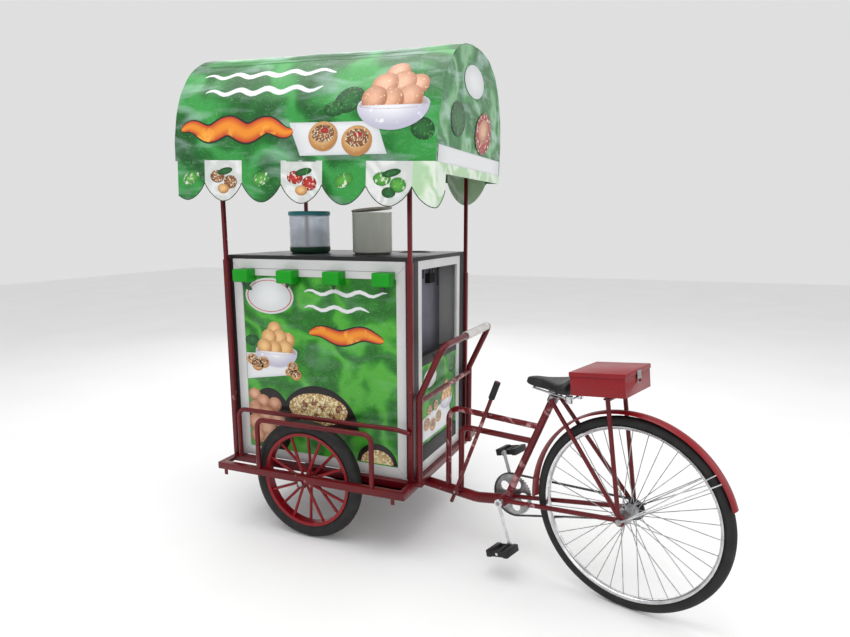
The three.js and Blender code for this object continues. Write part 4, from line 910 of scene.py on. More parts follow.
def patch(surface, u, v, wide, high, layer, colour, start=0.0, end=360.0, tilt=0.0, hole=0.0):
    """An inked ellipse, or a sector of one, laid on a sheet; sizes in mm along the sheet."""
    rings, around = 6, 44
    shape = bmesh.new()
    rim = shape.verts.layers.float.new("rim")
    grid = []
    lean = math.radians(tilt)
    for r in range(rings + 1):
        share = hole + (1 - hole) * r / rings
        row = []
        for k in range(around + 1):
            theta = math.radians(start + (end - start) * k / around)
            du, dv = wide * share * math.cos(theta), high * share * math.sin(theta)
            spot = surface(u + du * math.cos(lean) - dv * math.sin(lean),
                           v + du * math.sin(lean) + dv * math.cos(lean), LAYER * layer)
            vert = shape.verts.new(spot)
            lit = 0.22 * (math.cos(theta - math.radians(300)))
            vert[rim] = min(max(share * (1 + lit) if colour in ("puff", "rosy", "bowl") else share, 0), 1)
            row.append(vert)
        grid.append(row)
    for r in range(rings):
        for k in range(around):
            shape.faces.new((grid[r][k], grid[r][k + 1], grid[r + 1][k + 1], grid[r + 1][k]))
    bmesh.ops.remove_doubles(shape, verts=shape.verts, dist=1e-6)
    slivers = [face for face in shape.faces if face.calc_area() < 1e-10]
    bmesh.ops.delete(shape, geom=slivers, context="FACES_ONLY")
    mesh = bpy.data.meshes.new("patch")
    shape.to_mesh(mesh)
    shape.free()
    mesh.materials.append(INK[colour])
    return mesh


def sheet_quad(surface, corners, layer, colour, steps=10):
    """A four-cornered inked shape laid on a sheet."""
    shape = bmesh.new()
    rim = shape.verts.layers.float.new("rim")
    grid = []
    for i in range(steps + 1):
        row = []
        for j in range(steps + 1):
            s, t = i / steps, j / steps
            u, v = [(1 - s) * ((1 - t) * corners[0][n] + t * corners[3][n])
                    + s * ((1 - t) * corners[1][n] + t * corners[2][n]) for n in (0, 1)]
            vert = shape.verts.new(surface(u, v, LAYER * layer))
            vert[rim] = max(abs(2 * s - 1), abs(2 * t - 1)) ** 4
            row.append(vert)
        grid.append(row)
    for i in range(steps):
        for j in range(steps):
            shape.faces.new((grid[i][j], grid[i + 1][j], grid[i + 1][j + 1], grid[i][j + 1]))
    mesh = bpy.data.meshes.new("quad")
    shape.to_mesh(mesh)
    shape.free()
    mesh.materials.append(INK[colour])
    return mesh


def ribbon(surface, points, half, layer, colour):
    """A wavy inked stripe through points on a sheet, tapering at both ends."""
    shape = bmesh.new()
    rim = shape.verts.layers.float.new("rim")
    rows = []
    count = len(points)
    for i, (u, v) in enumerate(points):
        before, after = points[max(i - 1, 0)], points[min(i + 1, count - 1)]
        du, dv = after[0] - before[0], after[1] - before[1]
        length = math.hypot(du, dv) or 1.0
        reach = half * (0.15 + 0.85 * abs(math.sin(math.pi * i / (count - 1))) ** 0.5)
        row = []
        for k in (-1, -0.5, 0, 0.5, 1):
            vert = shape.verts.new(surface(u - dv / length * reach * k, v + du / length * reach * k, LAYER * layer))
            vert[rim] = abs(k)
            row.append(vert)
        rows.append(row)
    for i in range(count - 1):
        for k in range(4):
            shape.faces.new((rows[i][k], rows[i + 1][k], rows[i + 1][k + 1], rows[i][k + 1]))
    mesh = bpy.data.meshes.new("ribbon")
    shape.to_mesh(mesh)
    shape.free()
    mesh.materials.append(INK[colour])
    return mesh


PUFF_HEAP = ((-0.55, 0.12, 0.36), (-0.10, 0.05, 0.38), (0.42, 0.10, 0.38), (-0.32, 0.50, 0.37), (0.16, 0.52, 0.38),
             (0.58, 0.46, 0.32), (-0.04, 0.86, 0.33))


def bowl_of_puffs(surface, u, v, wide, layer, puff="puff"):
    """A white bowl seen from a little above, heaped with round crisp puffs; (u, v) is its rim's centre."""
    shapes = [patch(surface, u, v, wide, wide * 0.30, layer, "bowl"),
              patch(surface, u, v + wide * 0.02, wide * 0.93, wide * 0.25, layer + 1, "hollow")]
    for number, (du, dv, size) in enumerate(reversed(PUFF_HEAP)):
        shapes.append(patch(surface, u + du * wide, v + dv * wide + 0.04 * wide, size * wide, size * wide * 0.95,
                            layer + 2 + 0.35 * number, puff))
    shapes.append(patch(surface, u, v - wide * 0.02, wide, wide * 0.62, layer + 8, "bowl", 180, 360))
    shapes.append(patch(surface, u, v - wide * 0.02, wide * 0.985, wide * 0.10, layer + 8.4, "hollow",
                        180, 360, 0, 0.9))
    return shapes


def filled_puff(surface, u, v, size, layer):
    """A puff cut open and filled, seen from above."""
    return [patch(surface, u, v, size, size * 0.86, layer, "puff"),
            patch(surface, u, v + size * 0.16, size * 0.78, size * 0.52, layer + 0.6, "filling")]


def on_near_sheet(u, v, lift):
    return on_cart(u, -311.0 - 0.2 - lift, v)


near_print = printed_vinyl("near_sheet_print", (0.010, 0.13, 0.008), (0.024, 0.24, 0.012), (0.07, 0.37, 0.03),
                           "Object", 2.2, 0.16)
made_solid("near_banner", "cart", near_print, 0.4)
shapes = [patch(on_near_sheet, *spot) for spot in (
    (-193, 1055, 128, 80, 1, "paper"), (-193, 1055, 118, 71, 2, "orange", 0, 360, 0, 0.96),
    (-305, 1108, 22, 13, 3, "leaf", 0, 360, 38), (-302, 1088, 20, 10, 3.2, "leaf", 0, 360, -18))]
shapes.append(sheet_quad(on_near_sheet, ((-332, 668), (-40, 712), (-120, 800), (-332, 790)), 1, "paper"))
shapes += [patch(on_near_sheet, -296, 850, 38, 26, 1.2, "leaf"), patch(on_near_sheet, -80, 800, 26, 22, 1.4, "leaf")]
shapes += bowl_of_puffs(on_near_sheet, -168, 806, 112, 2)
for u, v, size in ((-300, 762, 30), (-272, 738, 32), (-238, 752, 31), (-82, 742, 28), (-66, 706, 28), (-104, 716, 20)):
    shapes += filled_puff(on_near_sheet, u, v, size, 10.6)
swash = [(10 + 10 * k, 900 + 12 * math.sin(k * 0.3)) for k in range(37)]
shapes += [ribbon(on_near_sheet, swash, 37, 1, "outline"), ribbon(on_near_sheet, swash, 30, 2, "orange")]
for rise_of_line, length in ((1080, 20), (1012, 16)):
    wave = [(-10 + 21 * k, rise_of_line + 9 * math.sin(k * 1.1)) for k in range(length)]
    shapes.append(ribbon(on_near_sheet, wave, 9, 1.5, "paper"))
shapes += [patch(on_near_sheet, -216, 470, 118, 164, 1, "pan", -90, 180),
           patch(on_near_sheet, 40, 470, 205, 196, 2, "pan", 0, 180)]
for u, v, size in ((-298, 596, 34), (-252, 566, 38), (-296, 530, 42), (-236, 508, 44), (-188, 560, 36), (-300, 462, 44),
                   (-232, 440, 46), (-176, 492, 40), (-290, 398, 40), (-222, 386, 36)):
    shapes.append(patch(on_near_sheet, u, v, size, size * 0.9, 3 + (600 - v) * 0.008, "rosy"))
shapes.append(patch(on_near_sheet, 40, 560, 150, 72, 5, "noodle"))
for k in range(24):
    spin = k * 2.4
    reach = 0.16 + 0.75 * (k / 24) ** 0.6
    shapes.append(patch(on_near_sheet, 40 + 128 * reach * math.cos(spin), 566 + 56 * reach * math.sin(spin), 21, 15,
                        5.4 + 0.1 * k, "noodle" if k % 3 else "filling", 0, 360, k * 37))
shapes += [patch(on_near_sheet, 330, 352, 96, 88, 3, "pan", 0, 180),
           patch(on_near_sheet, 330, 352, 78, 60, 4, "noodle", 0, 180)]
finished("near_sheet_pictures", merged(shapes), "cart", None, (), 30)


def on_rear_sheet(u, v, lift):
    return on_cart(494.0 + 0.2 + lift, u, v)


made_solid("rear_banner", "cart", near_print, 0.4)
shapes = [patch(on_rear_sheet, -110, 700, 74, 42, 1, "paper"),
          sheet_quad(on_rear_sheet, ((-205, 430), (150, 430), (120, 560), (-205, 530)), 1, "paper")]
shapes += bowl_of_puffs(on_rear_sheet, 90, 560, 74, 2)
for u, v, size in ((-150, 500, 34), (-80, 480, 34), (-10, 500, 32), (-120, 556, 26), (-44, 560, 28)):
    shapes += filled_puff(on_rear_sheet, u, v, size, 9)
shapes += [patch(on_rear_sheet, -185, 620, 30, 16, 3, "leaf", 0, 360, 40),
           patch(on_rear_sheet, 160, 690, 34, 20, 3, "leaf")]
finished("rear_sheet_pictures", merged(shapes), "cart", None, (), 30)

# ======================================================================================================
# Taps, pots, pipes and pump. Four bright green moulded spouts hang on the near face; two steel pots sit
# in the counter; pipes join them inside, and a small pump with its leads sits in the rear compartment.
for number in range(1, 5):
    made_solid(f"tap_cover_{number}", "cart", tap_green, 2.6)
TAP_X = [-299 + 229 * number for number in range(4)]
SPOUT_Y = -348.3
upright = Matrix.Rotation(math.radians(90), 4, "X")
for number, x in enumerate(TAP_X, 1):
    collar = turned([(6.2, 0), (8.5, 1), (8.5, 6), (6.2, 7)], 20)
    collar.transform(Matrix.Translation((x, SPOUT_Y, 1109)) @ upright)
    tip = turned([(3.2, 0), (5.2, 0), (5.2, 5), (6.4, 6), (6.4, 9), (3.2, 9)], 20)
    tip.transform(Matrix.Translation((x, SPOUT_Y, 1099)) @ upright)
    finished(f"tap_nozzle_{number}", merged([collar, tip], cart_place), "cart", dark_steel, (), 30)

POT = {"y": 180, "radius": 72, "floor": 1043.6, "counter": 1233.6}
POT_X = {"front": -290, "rear": 300}
for label, x in POT_X.items():
    r, low, top = POT["radius"], POT["floor"], POT["counter"]
    wall = [(0.01, low), (r - 10, low), (r - 3, low + 3), (r, low + 10), (r, top), (r + 5, top), (r + 8, top + 1),
            (r + 8, top + 2.4), (r + 5, top + 3), (r - 1, top + 3), (r - 3, top + 1), (r - 3, low + 11),
            (r - 6, low + 5), (r - 11, low + 3), (0.01, low + 3)]
    pot = turned(wall, 64, None, "Z")
    pot.transform(Matrix.Translation((x, POT["y"], 0)))
    finished(f"water_pot_{label}_spun", merged([pot], cart_place), f"pot_{label}", dark_steel,
             (f"water_pot_{label}",), 40)

PIPE = {"y": -255, "z": 1009.6, "top": 1130, "reach": -268, "radius": 6, "last": 369}
riser_x = [min(x, PIPE["last"]) for x in TAP_X]
pipes = [tube([(riser_x[0], PIPE["y"], PIPE["z"]), (riser_x[3], PIPE["y"], PIPE["z"])], PIPE["radius"], 0,
              grey_plastic, 14)]
for x in riser_x:
    pipes.append(tube([(x, PIPE["y"], PIPE["z"]), (x, PIPE["y"], PIPE["top"]), (x, PIPE["reach"], PIPE["top"])],
                      PIPE["radius"], 8, grey_plastic, 14))
for x in POT_X.values():
    pipes.append(tube([(x, POT["y"], POT["floor"] - 0.4), (x, POT["y"], PIPE["z"]), (x, PIPE["y"], PIPE["z"])],
                      PIPE["radius"], 14, grey_plastic, 14))
finished("feed_pipes", merged(pipes, cart_place), "cart", grey_plastic, ("feed_pipe",), 40)
leads = [block(387.4, 411, 92, 152, 1096, 1140),
         tube([(399, 120, 1130), (399, 120, 1165), (399, 40, 1165), (399, 40, 1120)], 3, 16, black_paint, 10),
         tube([(403, 140, 1130), (403, 140, 1172), (403, 205, 1172), (403, 205, 1080)], 3, 18, black_paint, 10)]
finished("pump_with_leads", merged(leads, cart_place), "cart", black_paint, ("pump_and_leads",), 40)
made_solid("lock_knob", "lock", bare_steel, 0.8)

# ======================================================================================================
# Jars. Two clear plastic tubs stand on the counter: one with a teal screw lid and a dark green foot, the
# other cloudy with a loose beige lid that sits askew.
def clear_plastic(name, tint, roughness, see_through, streak):
    """Clear moulded plastic, scuffed, with faint upright flow streaks."""
    material = bpy.data.materials.new(name)
    material.use_nodes = True
    tree = material.node_tree
    tree.nodes.clear()
    place = tree.nodes.new("ShaderNodeTexCoord")
    place.label = "place on the tub"
    stretch = tree.nodes.new("ShaderNodeMapping")
    stretch.label = "streaks run upright"
    stretch.inputs["Scale"].default_value = (26, 26, 3)
    flow = tree.nodes.new("ShaderNodeTexNoise")
    flow.label = "flow streaks"
    flow.inputs["Scale"].default_value = 1
    flow.inputs["Detail"].default_value = 5
    tone = tree.nodes.new("ShaderNodeValToRGB")
    tone.label = "clear to cloudy"
    tone.color_ramp.elements[0].position = 0.35
    tone.color_ramp.elements[0].color = (*tint, 1)
    tone.color_ramp.elements[1].position = 0.75
    tone.color_ramp.elements[1].color = (*streak, 1)
    scuff = tree.nodes.new("ShaderNodeTexNoise")
    scuff.label = "scuffs"
    scuff.inputs["Scale"].default_value = 120
    dull = tree.nodes.new("ShaderNodeMapRange")
    dull.label = "scuffs dull it"
    dull.inputs["To Min"].default_value = roughness
    dull.inputs["To Max"].default_value = roughness + 0.15
    surface = tree.nodes.new("ShaderNodeBsdfPrincipled")
    surface.label = "plastic"
    surface.inputs["Transmission Weight"].default_value = see_through
    surface.inputs["IOR"].default_value = 1.12
    surface.inputs["Coat Weight"].default_value = 0.6
    surface.inputs["Coat Roughness"].default_value = 0.06
    out = tree.nodes.new("ShaderNodeOutputMaterial")
    tree.links.new(place.outputs["Object"], stretch.inputs["Vector"])
    tree.links.new(stretch.outputs["Vector"], flow.inputs["Vector"])
    tree.links.new(place.outputs["Object"], scuff.inputs["Vector"])
    tree.links.new(flow.outputs["Fac"], tone.inputs["Fac"])
    tree.links.new(tone.outputs["Color"], surface.inputs["Base Color"])
    tree.links.new(scuff.outputs["Fac"], dull.inputs["Value"])
    tree.links.new(dull.outputs["Result"], surface.inputs["Roughness"])
    tree.links.new(surface.outputs["BSDF"], out.inputs["Surface"])
    lay_out(tree, {"colour": [place, stretch, flow, tone], "scuffs": [scuff, dull], "plastic": [surface, out]})
    return material


tub_clear = clear_plastic("tub_clear", (0.74, 0.77, 0.84), 0.10, 0.66, (0.84, 0.87, 0.90))
tub_cloudy = clear_plastic("tub_cloudy", (0.62, 0.66, 0.59), 0.24, 0.46, (0.76, 0.73, 0.68))
teal_lid = coated_board("teal_lid", (0.03, 0.24, 0.27), (0.04, 0.20, 0.22), (0.1, 0.3, 0.3), 0.34)
green_foot = coated_board("green_foot", (0.012, 0.055, 0.028), (0.02, 0.07, 0.04), (0.05, 0.1, 0.06), 0.34)
beige_lid = coated_board("beige_lid", (0.44, 0.40, 0.33), (0.36, 0.33, 0.28), (0.5, 0.48, 0.42), 0.42)

JAR_ONE = {"x": -151, "y": -30, "radius": 94, "base": 1233.6, "height": 186}
JAR_TWO = {"x": 180, "y": -30, "radius": 90, "base": 1233.6, "height": 184}


def tub_wall(jar, foot):
    r, base, high = jar["radius"], jar["base"], jar["height"]
    outside = [(0.01, base), (r - 22, base), (r - 12, base + 1), (r - 4, base + 6), (r - 0.4, base + foot * 0.6),
               (r - 0.4, base + high - 12), (r, base + high - 10), (r, base + high)]
    inside = [(r - 3, base + high), (r - 3, base + foot * 0.6), (r - 8, base + 8), (r - 22, base + 3), (0.01, base + 3)]
    spun = turned(outside + inside, 72, None, "Z")
    spun.transform(Matrix.Translation((jar["x"], jar["y"], 0)))
    return spun


for label, jar, wall, foot in (("one", JAR_ONE, tub_clear, 16), ("two", JAR_TWO, tub_cloudy, 14)):
    number = 1 if label == "one" else 2
    finished(f"tub_{label}_wall", merged([tub_wall(jar, foot)], cart_place), f"jar_{label}", wall,
             (f"jar_{number}_body",), 40)
r, base = JAR_ONE["radius"], JAR_ONE["base"]
boot = turned([(r - 20, base - 0.1), (r - 11, base + 0.6), (r - 3, base + 5.4), (r + 0.5, base + 11),
               (r + 1.1, base + 28), (r - 0.1, base + 29),
               (r - 0.3, base + 11), (r - 5, base + 7), (r - 12, base + 1.8)], 72, None, "Z")
boot.transform(Matrix.Translation((JAR_ONE["x"], JAR_ONE["y"], 0)))
finished("tub_one_foot", merged([boot], cart_place), "jar_one", green_foot, (), 40)
top = base + JAR_ONE["height"]
ribs = []
for k in range(60):
    theta = 2 * math.pi * k / 60
    rib = block(r + 2.2, r + 3.4, -1.2, 1.2, top - 12, top + 2)
    rib.transform(Matrix.Rotation(theta, 4, "Z"))
    ribs.append(rib)
cap = turned([(0.01, top + 0.4), (r + 0.5, top + 0.4), (r + 0.5, top - 13.5), (r + 2.6, top - 13.5), (r + 3, top - 12),
              (r + 3, top + 3), (r + 1, top + 5.6), (r - 8, top + 6), (r - 12, top + 4.4), (r - 30, top + 4),
              (0.01, top + 4)], 72, None, "Z")
lid = merged([cap, *ribs])
lid.transform(Matrix.Translation((JAR_ONE["x"], JAR_ONE["y"], 0)))
finished("tub_one_lid", merged([lid], cart_place), "jar_one_lid", teal_lid, ("jar_1_lid",), 40)
r = JAR_TWO["radius"]
LID_TILT = math.radians(-5)
lift = JAR_TWO["base"] + JAR_TWO["height"] + math.sin(-LID_TILT) * (r + 3)
loose = turned([(0.01, 0.4), (r + 1, 0.4), (r + 3, 4), (r + 1, 7.4), (r - 4, 8.2), (r - 8, 6.4), (0.01, 5.6)],
               72, None, "Z")
loose.transform(Matrix.Translation((JAR_TWO["x"], JAR_TWO["y"], lift)) @ Matrix.Rotation(LID_TILT, 4, "Y"))
finished("tub_two_lid", merged([loose], cart_place), "jar_two_lid", beige_lid, ("jar_2_lid",), 40)

# ======================================================================================================
# Push handle. One bent tube standing on the rear rail, with a cross bar; the far half of the grip is
# wrapped in pale foam under clear film, and more film clings to the cross bar.
HANDLE = {"x": 530, "y": 314, "shoulder": 665, "bar": (633, 885), "radius": 13.5, "cross": 645}
arms = [(HANDLE["x"], -HANDLE["y"], RAIL_TOP), (HANDLE["x"], -HANDLE["y"], HANDLE["shoulder"]),
        (HANDLE["bar"][0], -HANDLE["y"], HANDLE["bar"][1]), (HANDLE["bar"][0], HANDLE["y"], HANDLE["bar"][1]),
        (HANDLE["x"], HANDLE["y"], HANDLE["shoulder"]), (HANDLE["x"], HANDLE["y"], RAIL_TOP)]
bow = tube(arms, HANDLE["radius"], 45, red_enamel, 24)
cross = tube([(HANDLE["x"], -HANDLE["y"] + 10, HANDLE["cross"]), (HANDLE["x"], HANDLE["y"] - 10, HANDLE["cross"])],
             11, 0, red_filmed, 20)
finished("push_handle", merged([bow, cross], cart_place), "cart", None, ("handle_frame",), 40)

foam_wrap = coated_board("foam_wrap", (0.62, 0.60, 0.585), (0.42, 0.40, 0.39), (0.30, 0.22, 0.21), 0.46, 60)
wrap_rings = []
random.seed(11)
WRAP = {"start": -40, "end": 254, "radius": 18.2, "bore": 14.4, "steps": 70, "sides": 28}
grip_x, grip_z = HANDLE["bar"]
wrap_angles = [2 * math.pi * s / WRAP["sides"] for s in range(WRAP["sides"])]
wrap = bmesh.new()
for k in range(WRAP["steps"] + 1):
    y = WRAP["start"] + (WRAP["end"] - WRAP["start"]) * k / WRAP["steps"]
    swell = 0.55 * math.sin(k * 1.9) + 0.45 * random.uniform(-1, 1)
    puffed = [WRAP["radius"] + swell + 0.5 * math.sin(3 * a + k * 0.4) for a in wrap_angles]
    outer = [wrap.verts.new((grip_x + out * math.cos(a), y, grip_z + out * math.sin(a)))
             for a, out in zip(wrap_angles, puffed)]
    inner = [wrap.verts.new((grip_x + WRAP["bore"] * math.cos(a), y, grip_z + WRAP["bore"] * math.sin(a)))
             for a in wrap_angles]
    wrap_rings.append((outer, inner))
for (o0, i0), (o1, i1) in zip(wrap_rings, wrap_rings[1:]):
    for s in range(WRAP["sides"]):
        t = (s + 1) % WRAP["sides"]
        wrap.faces.new((o0[s], o0[t], o1[t], o1[s]))
        wrap.faces.new((i0[s], i1[s], i1[t], i0[t]))
for outer, inner in (wrap_rings[0], wrap_rings[-1]):
    for s in range(WRAP["sides"]):
        t = (s + 1) % WRAP["sides"]
        wrap.faces.new((outer[s], inner[s], inner[t], outer[t]))
wrap_mesh = bpy.data.meshes.new("wrap")
wrap.to_mesh(wrap_mesh)
wrap.free()
finished("handle_foam", merged([wrap_mesh], cart_place), "cart", foam_wrap, ("handle_sleeve",), 60)

# ======================================================================================================
# Canopy frame. Round tube: an arch at each end and one in the middle, bottom rails, a ridge and two side
# purlins, and the cross-bars that stand on the four posts. The whole barrel sits a little high in front.
CANOPY = {"rear": 638.6, "z": 1586, "length": 1228, "half": 404, "height": 479, "power": 2.51, "tilt": 2.55}
canopy_place = cart_place @ Matrix.Translation((CANOPY["rear"], 0, CANOPY["z"])) @ Matrix.Rotation(
    math.radians(CANOPY["tilt"]), 4, "Y")


def arch(half, height, steps):
    """Points (y, z) across the barrel from the near bottom edge to the far one, evenly spaced."""
    fine = []
    for k in range(1201):
        theta = math.pi * k / 1200
        c, s = math.cos(theta), math.sin(theta)
        fine.append(Vector((-half * math.copysign(abs(c) ** (2 / CANOPY["power"]), c),
                            height * abs(s) ** (2 / CANOPY["power"]))))
    run = [0.0]
    for a, b in zip(fine, fine[1:]):
        run.append(run[-1] + (b - a).length)
    spots, k = [], 0
    for step in range(steps + 1):
        want = run[-1] * step / steps
        while k < 1199 and run[k + 1] < want:
            k += 1
        share = (want - run[k]) / max(run[k + 1] - run[k], 1e-9)
        spots.append(fine[k].lerp(fine[k + 1], min(share, 1)))
    return spots, run[-1]


ARCH_STEPS = 120
outer_arch, ARCH_LENGTH = arch(CANOPY["half"], CANOPY["height"], ARCH_STEPS)
CANOPY_TUBE = {"arches": (-13, -614, -1215), "bars": (-1040, -138), "side": 391, "rise": 9, "radius": 8, "inset": 13,
               "drop": 23, "steps": 60, "purlins": (0.31, 0.5, 0.69), "purlin_radius": 7}
tube_arch = arch(CANOPY["half"] - CANOPY_TUBE["inset"], CANOPY["height"] - CANOPY_TUBE["drop"], CANOPY_TUBE["steps"])[0]
side, rise, tube_radius = CANOPY_TUBE["side"], CANOPY_TUBE["rise"], CANOPY_TUBE["radius"]
first, last = CANOPY_TUBE["arches"][-1], CANOPY_TUBE["arches"][0]
bars = []
for x in CANOPY_TUBE["arches"]:
    bars.append(tube([(x, y, z + rise) for y, z in tube_arch], tube_radius, 0, bare_steel, 14))
    bars.append(tube([(x, -side, rise), (x, side, rise)], tube_radius, 0, bare_steel, 14))
for hand in (-1, 1):
    bars.append(tube([(first, hand * side, rise), (last, hand * side, rise)], tube_radius, 0, bare_steel, 14))
for share in CANOPY_TUBE["purlins"]:
    y, z = tube_arch[round(CANOPY_TUBE["steps"] * share)]
    bars.append(tube([(first, y * 0.99, z * 0.99 + rise), (last, y * 0.99, z * 0.99 + rise)],
                     CANOPY_TUBE["purlin_radius"], 0, bare_steel, 12))
for x in CANOPY_TUBE["bars"]:
    bars.append(tube([(x, -side, rise), (x, side, rise)], tube_radius, 0, bare_steel, 14))
finished("canopy_tubes", merged(bars, canopy_place), "cart", bare_steel, ("canopy_frame",), 40)

# ======================================================================================================
# Canopy cloth. One continuous sheet of glossy printed vinyl stretched over the tubes from edge to edge,
# and an end piece of the same vinyl under clear film at each end; a scalloped strip hangs below it.
# The canopy print's last value, 0.14, paints a milky highlight along the ridge of the arch.
canopy_print = printed_vinyl("canopy_print", (0.003, 0.085, 0.010), (0.005, 0.155, 0.016), (0.03, 0.29, 0.05),
                             "UV", 1.5, 0.55, 0.14)
end_print = printed_vinyl("canopy_end_print", (0.02, 0.14, 0.035), (0.05, 0.25, 0.07), (0.20, 0.42, 0.22),
                          "UV", 2.4, 0.8)
pale_print = printed_vinyl("scallop_pale_print", (0.42, 0.62, 0.38), (0.55, 0.72, 0.50), (0.74, 0.80, 0.70),
                           "UV", 3, 0.5)
white_print = printed_vinyl("scallop_white_print", (0.60, 0.62, 0.60), (0.70, 0.71, 0.70), (0.78, 0.78, 0.78),
                            "UV", 3, 0.2)


def two_sided(outer, inner, uv, materials, pick=None):
    """A sheet with real thickness from two grids of points in mm; uv gives each grid point's place in metres."""
    shape = bmesh.new()
    rows, columns = len(outer), len(outer[0])
    front = [[shape.verts.new(spot) for spot in row] for row in outer]
    back = [[shape.verts.new(spot) for spot in row] for row in inner]
    layer = shape.loops.layers.uv.new("UVMap")

    def face(verts, spots, index):
        made = shape.faces.new(verts)
        made.material_index = index
        for loop, spot in zip(made.loops, spots):
            loop[layer].uv = spot

    for r in range(rows - 1):
        for c in range(columns - 1):
            ring = ((r, c), (r, c + 1), (r + 1, c + 1), (r + 1, c))
            index = pick(r, c) if pick else 0
            face([front[i][j] for i, j in ring], [uv[i][j] for i, j in ring], index)
            face([back[i][j] for i, j in reversed(ring)], [uv[i][j] for i, j in reversed(ring)], index)
    edge = [(0, c) for c in range(columns)] + [(r, columns - 1) for r in range(1, rows)]
    edge += [(rows - 1, c) for c in range(columns - 2, -1, -1)] + [(r, 0) for r in range(rows - 2, 0, -1)]
    for (i, j), (k, m) in zip(edge, edge[1:] + edge[:1]):
        index = pick(min(i, k, rows - 2), min(j, m, columns - 2)) if pick else 0
        face([front[i][j], back[i][j], back[k][m], front[k][m]], [uv[i][j], uv[i][j], uv[k][m], uv[k][m]], index)
    bmesh.ops.recalc_face_normals(shape, faces=shape.faces)
    mesh = bpy.data.meshes.new("sheet")
    shape.to_mesh(mesh)
    shape.free()
    for material in materials:
        mesh.materials.append(material)
    return mesh


def barrel_spot(x, run, lift):
    """A point on the barrel: x along it, run along the arch from the near edge, lift outwards; all mm."""
    share = min(max(run / ARCH_LENGTH, 0), 1) * ARCH_STEPS
    k = min(int(share), ARCH_STEPS - 1)
    spot = outer_arch[k].lerp(outer_arch[k + 1], share - k)
    along = (outer_arch[min(k + 2, ARCH_STEPS)] - outer_arch[max(k - 1, 0)]).normalized()
    sag = -3.2 * abs(math.sin(math.pi * (x + 13) / 601)) * math.sin(math.pi * run / ARCH_LENGTH)
    ripple = 0.9 * math.sin(x / 47 + run / 61) * math.sin(x / 23.0 - run / 39) + 0.7 * math.sin(run / 17.0 + x / 130)
    seat = 1.6 * sum(math.exp(-((run / ARCH_LENGTH - purlin) * ARCH_LENGTH / 16) ** 2)
                     for purlin in CANOPY_TUBE["purlins"])
    push = sag + ripple + seat + lift
    return Vector((x, spot.x - along.y * push, spot.y + along.x * push))


LONG_STEPS = 130
outer, inner, uv = [], [], []
for i in range(LONG_STEPS + 1):
    x = -CANOPY["length"] + CANOPY["length"] * i / LONG_STEPS
    runs = [ARCH_LENGTH * k / ARCH_STEPS for k in range(ARCH_STEPS + 1)]
    outer.append([barrel_spot(x, run, 0.0) for run in runs])
    inner.append([barrel_spot(x, run, -1.4) for run in runs])
    uv.append([(x * MM, run * MM) for run in runs])
barrel = merged([two_sided(outer, inner, uv, [canopy_print])], canopy_place)
barrel_piece = finished("canopy_cloth", barrel, "cart", None, ("canopy_skin",), 60)

END_RINGS = 22
for label, x, out in (("rear", 0.0, 1), ("front", -CANOPY["length"], -1)):
    outer, inner, uv = [], [], []
    for r in range(END_RINGS + 1):
        share = 0.02 + 0.975 * r / END_RINGS
        crease = [0.8 * math.sin(14 * math.atan2(z, y + 0.01) + 3 * share) * (1 - share) - 2.4 * (1 - share * share)
                  for y, z in outer_arch]
        outer.append([Vector((x + out * (c - 0.4), y * share, z * share)) for (y, z), c in zip(outer_arch, crease)])
        inner.append([Vector((x + out * (c - 1.6), y * share, z * share)) for (y, z), c in zip(outer_arch, crease)])
        uv.append([(y * share * MM, z * share * MM) for y, z in outer_arch])
    panel = merged([two_sided(outer, inner, uv, [end_print])], canopy_place)
    piece = finished(f"canopy_end_{label}", panel, "cart", None, ("canopy_skin",), 60)
    area = 0.0
    for (y0, z0), (y1, z1) in zip(outer_arch, outer_arch[1:]):
        area += abs(y0 * z1 - y1 * z0) / 2 * 0.995 ** 2


def on_barrel(u, v, lift):
    return canopy_place @ barrel_spot(u, v, lift + 0.25)


def on_end(u, v, lift):
    return canopy_place @ Vector((1.1 + lift, u, v))


shapes = [sheet_quad(on_barrel, ((-585, 22), (-200, 30), (-250, 150), (-640, 150)), 1, "paper")]
shapes += [patch(on_barrel, -380, 236, 66, 50, 1, "leaf", 0, 360, 25), patch(on_barrel, -440, 200, 46, 30, 1.3, "leaf"),
           patch(on_barrel, -60, 120, 50, 40, 1.2, "leaf", 0, 360, -20)]
shapes += bowl_of_puffs(on_barrel, -190, 212, 150, 2, "rosy")
for u, v in ((-480, 96), (-330, 78)):
    shapes += filled_puff(on_barrel, u, v, 66, 11)
    shapes.append(patch(on_barrel, u + 6, v + 22, 18, 10, 12.4, "chilli"))
wave = [(-1190 + 10 * k, 128 + 16 * math.sin(k * 0.32)) for k in range(58)]
shapes += [ribbon(on_barrel, wave, 46, 1, "outline"), ribbon(on_barrel, wave, 38, 2, "orange")]
for base, first, length in ((290, -1090, 30), (375, -1130, 34)):
    wave = [(first + 20 * k, base + 11 * math.sin(k * 0.9)) for k in range(length)]
    shapes.append(ribbon(on_barrel, wave, 13, 1, "paper"))
for run in (0.31, 0.335):
    line = [(-1220 + 6 * k, ARCH_LENGTH * run) for k in range(203)]
    shapes.append(ribbon(on_barrel, line, 1.8, 3, "leaf"))
finished("canopy_pictures", merged(shapes), "cart", None, (), 40)
shapes = [patch(on_end, -20, 345, 120, 62, 1, "paper"), patch(on_end, 130, 160, 110, 84, 1, "chilli", 0, 360, 18),
          patch(on_end, 130, 170, 70, 48, 2, "rosy", 0, 360, 18), patch(on_end, -190, 180, 80, 66, 1, "leaf"),
          sheet_quad(on_end, ((-392, 3), (392, 3), (388, 66), (-388, 66)), 1, "paper", 24)]
finished("canopy_end_pictures", merged(shapes), "cart", None, (), 40)

VALANCE = {"start": -1215, "pitch": 195, "cusp": 85, "drop": 163, "wrap": 103, "top": 4}
cusps = [VALANCE["wrap"] - VALANCE["pitch"] * k for k in range(7, -1, -1)]


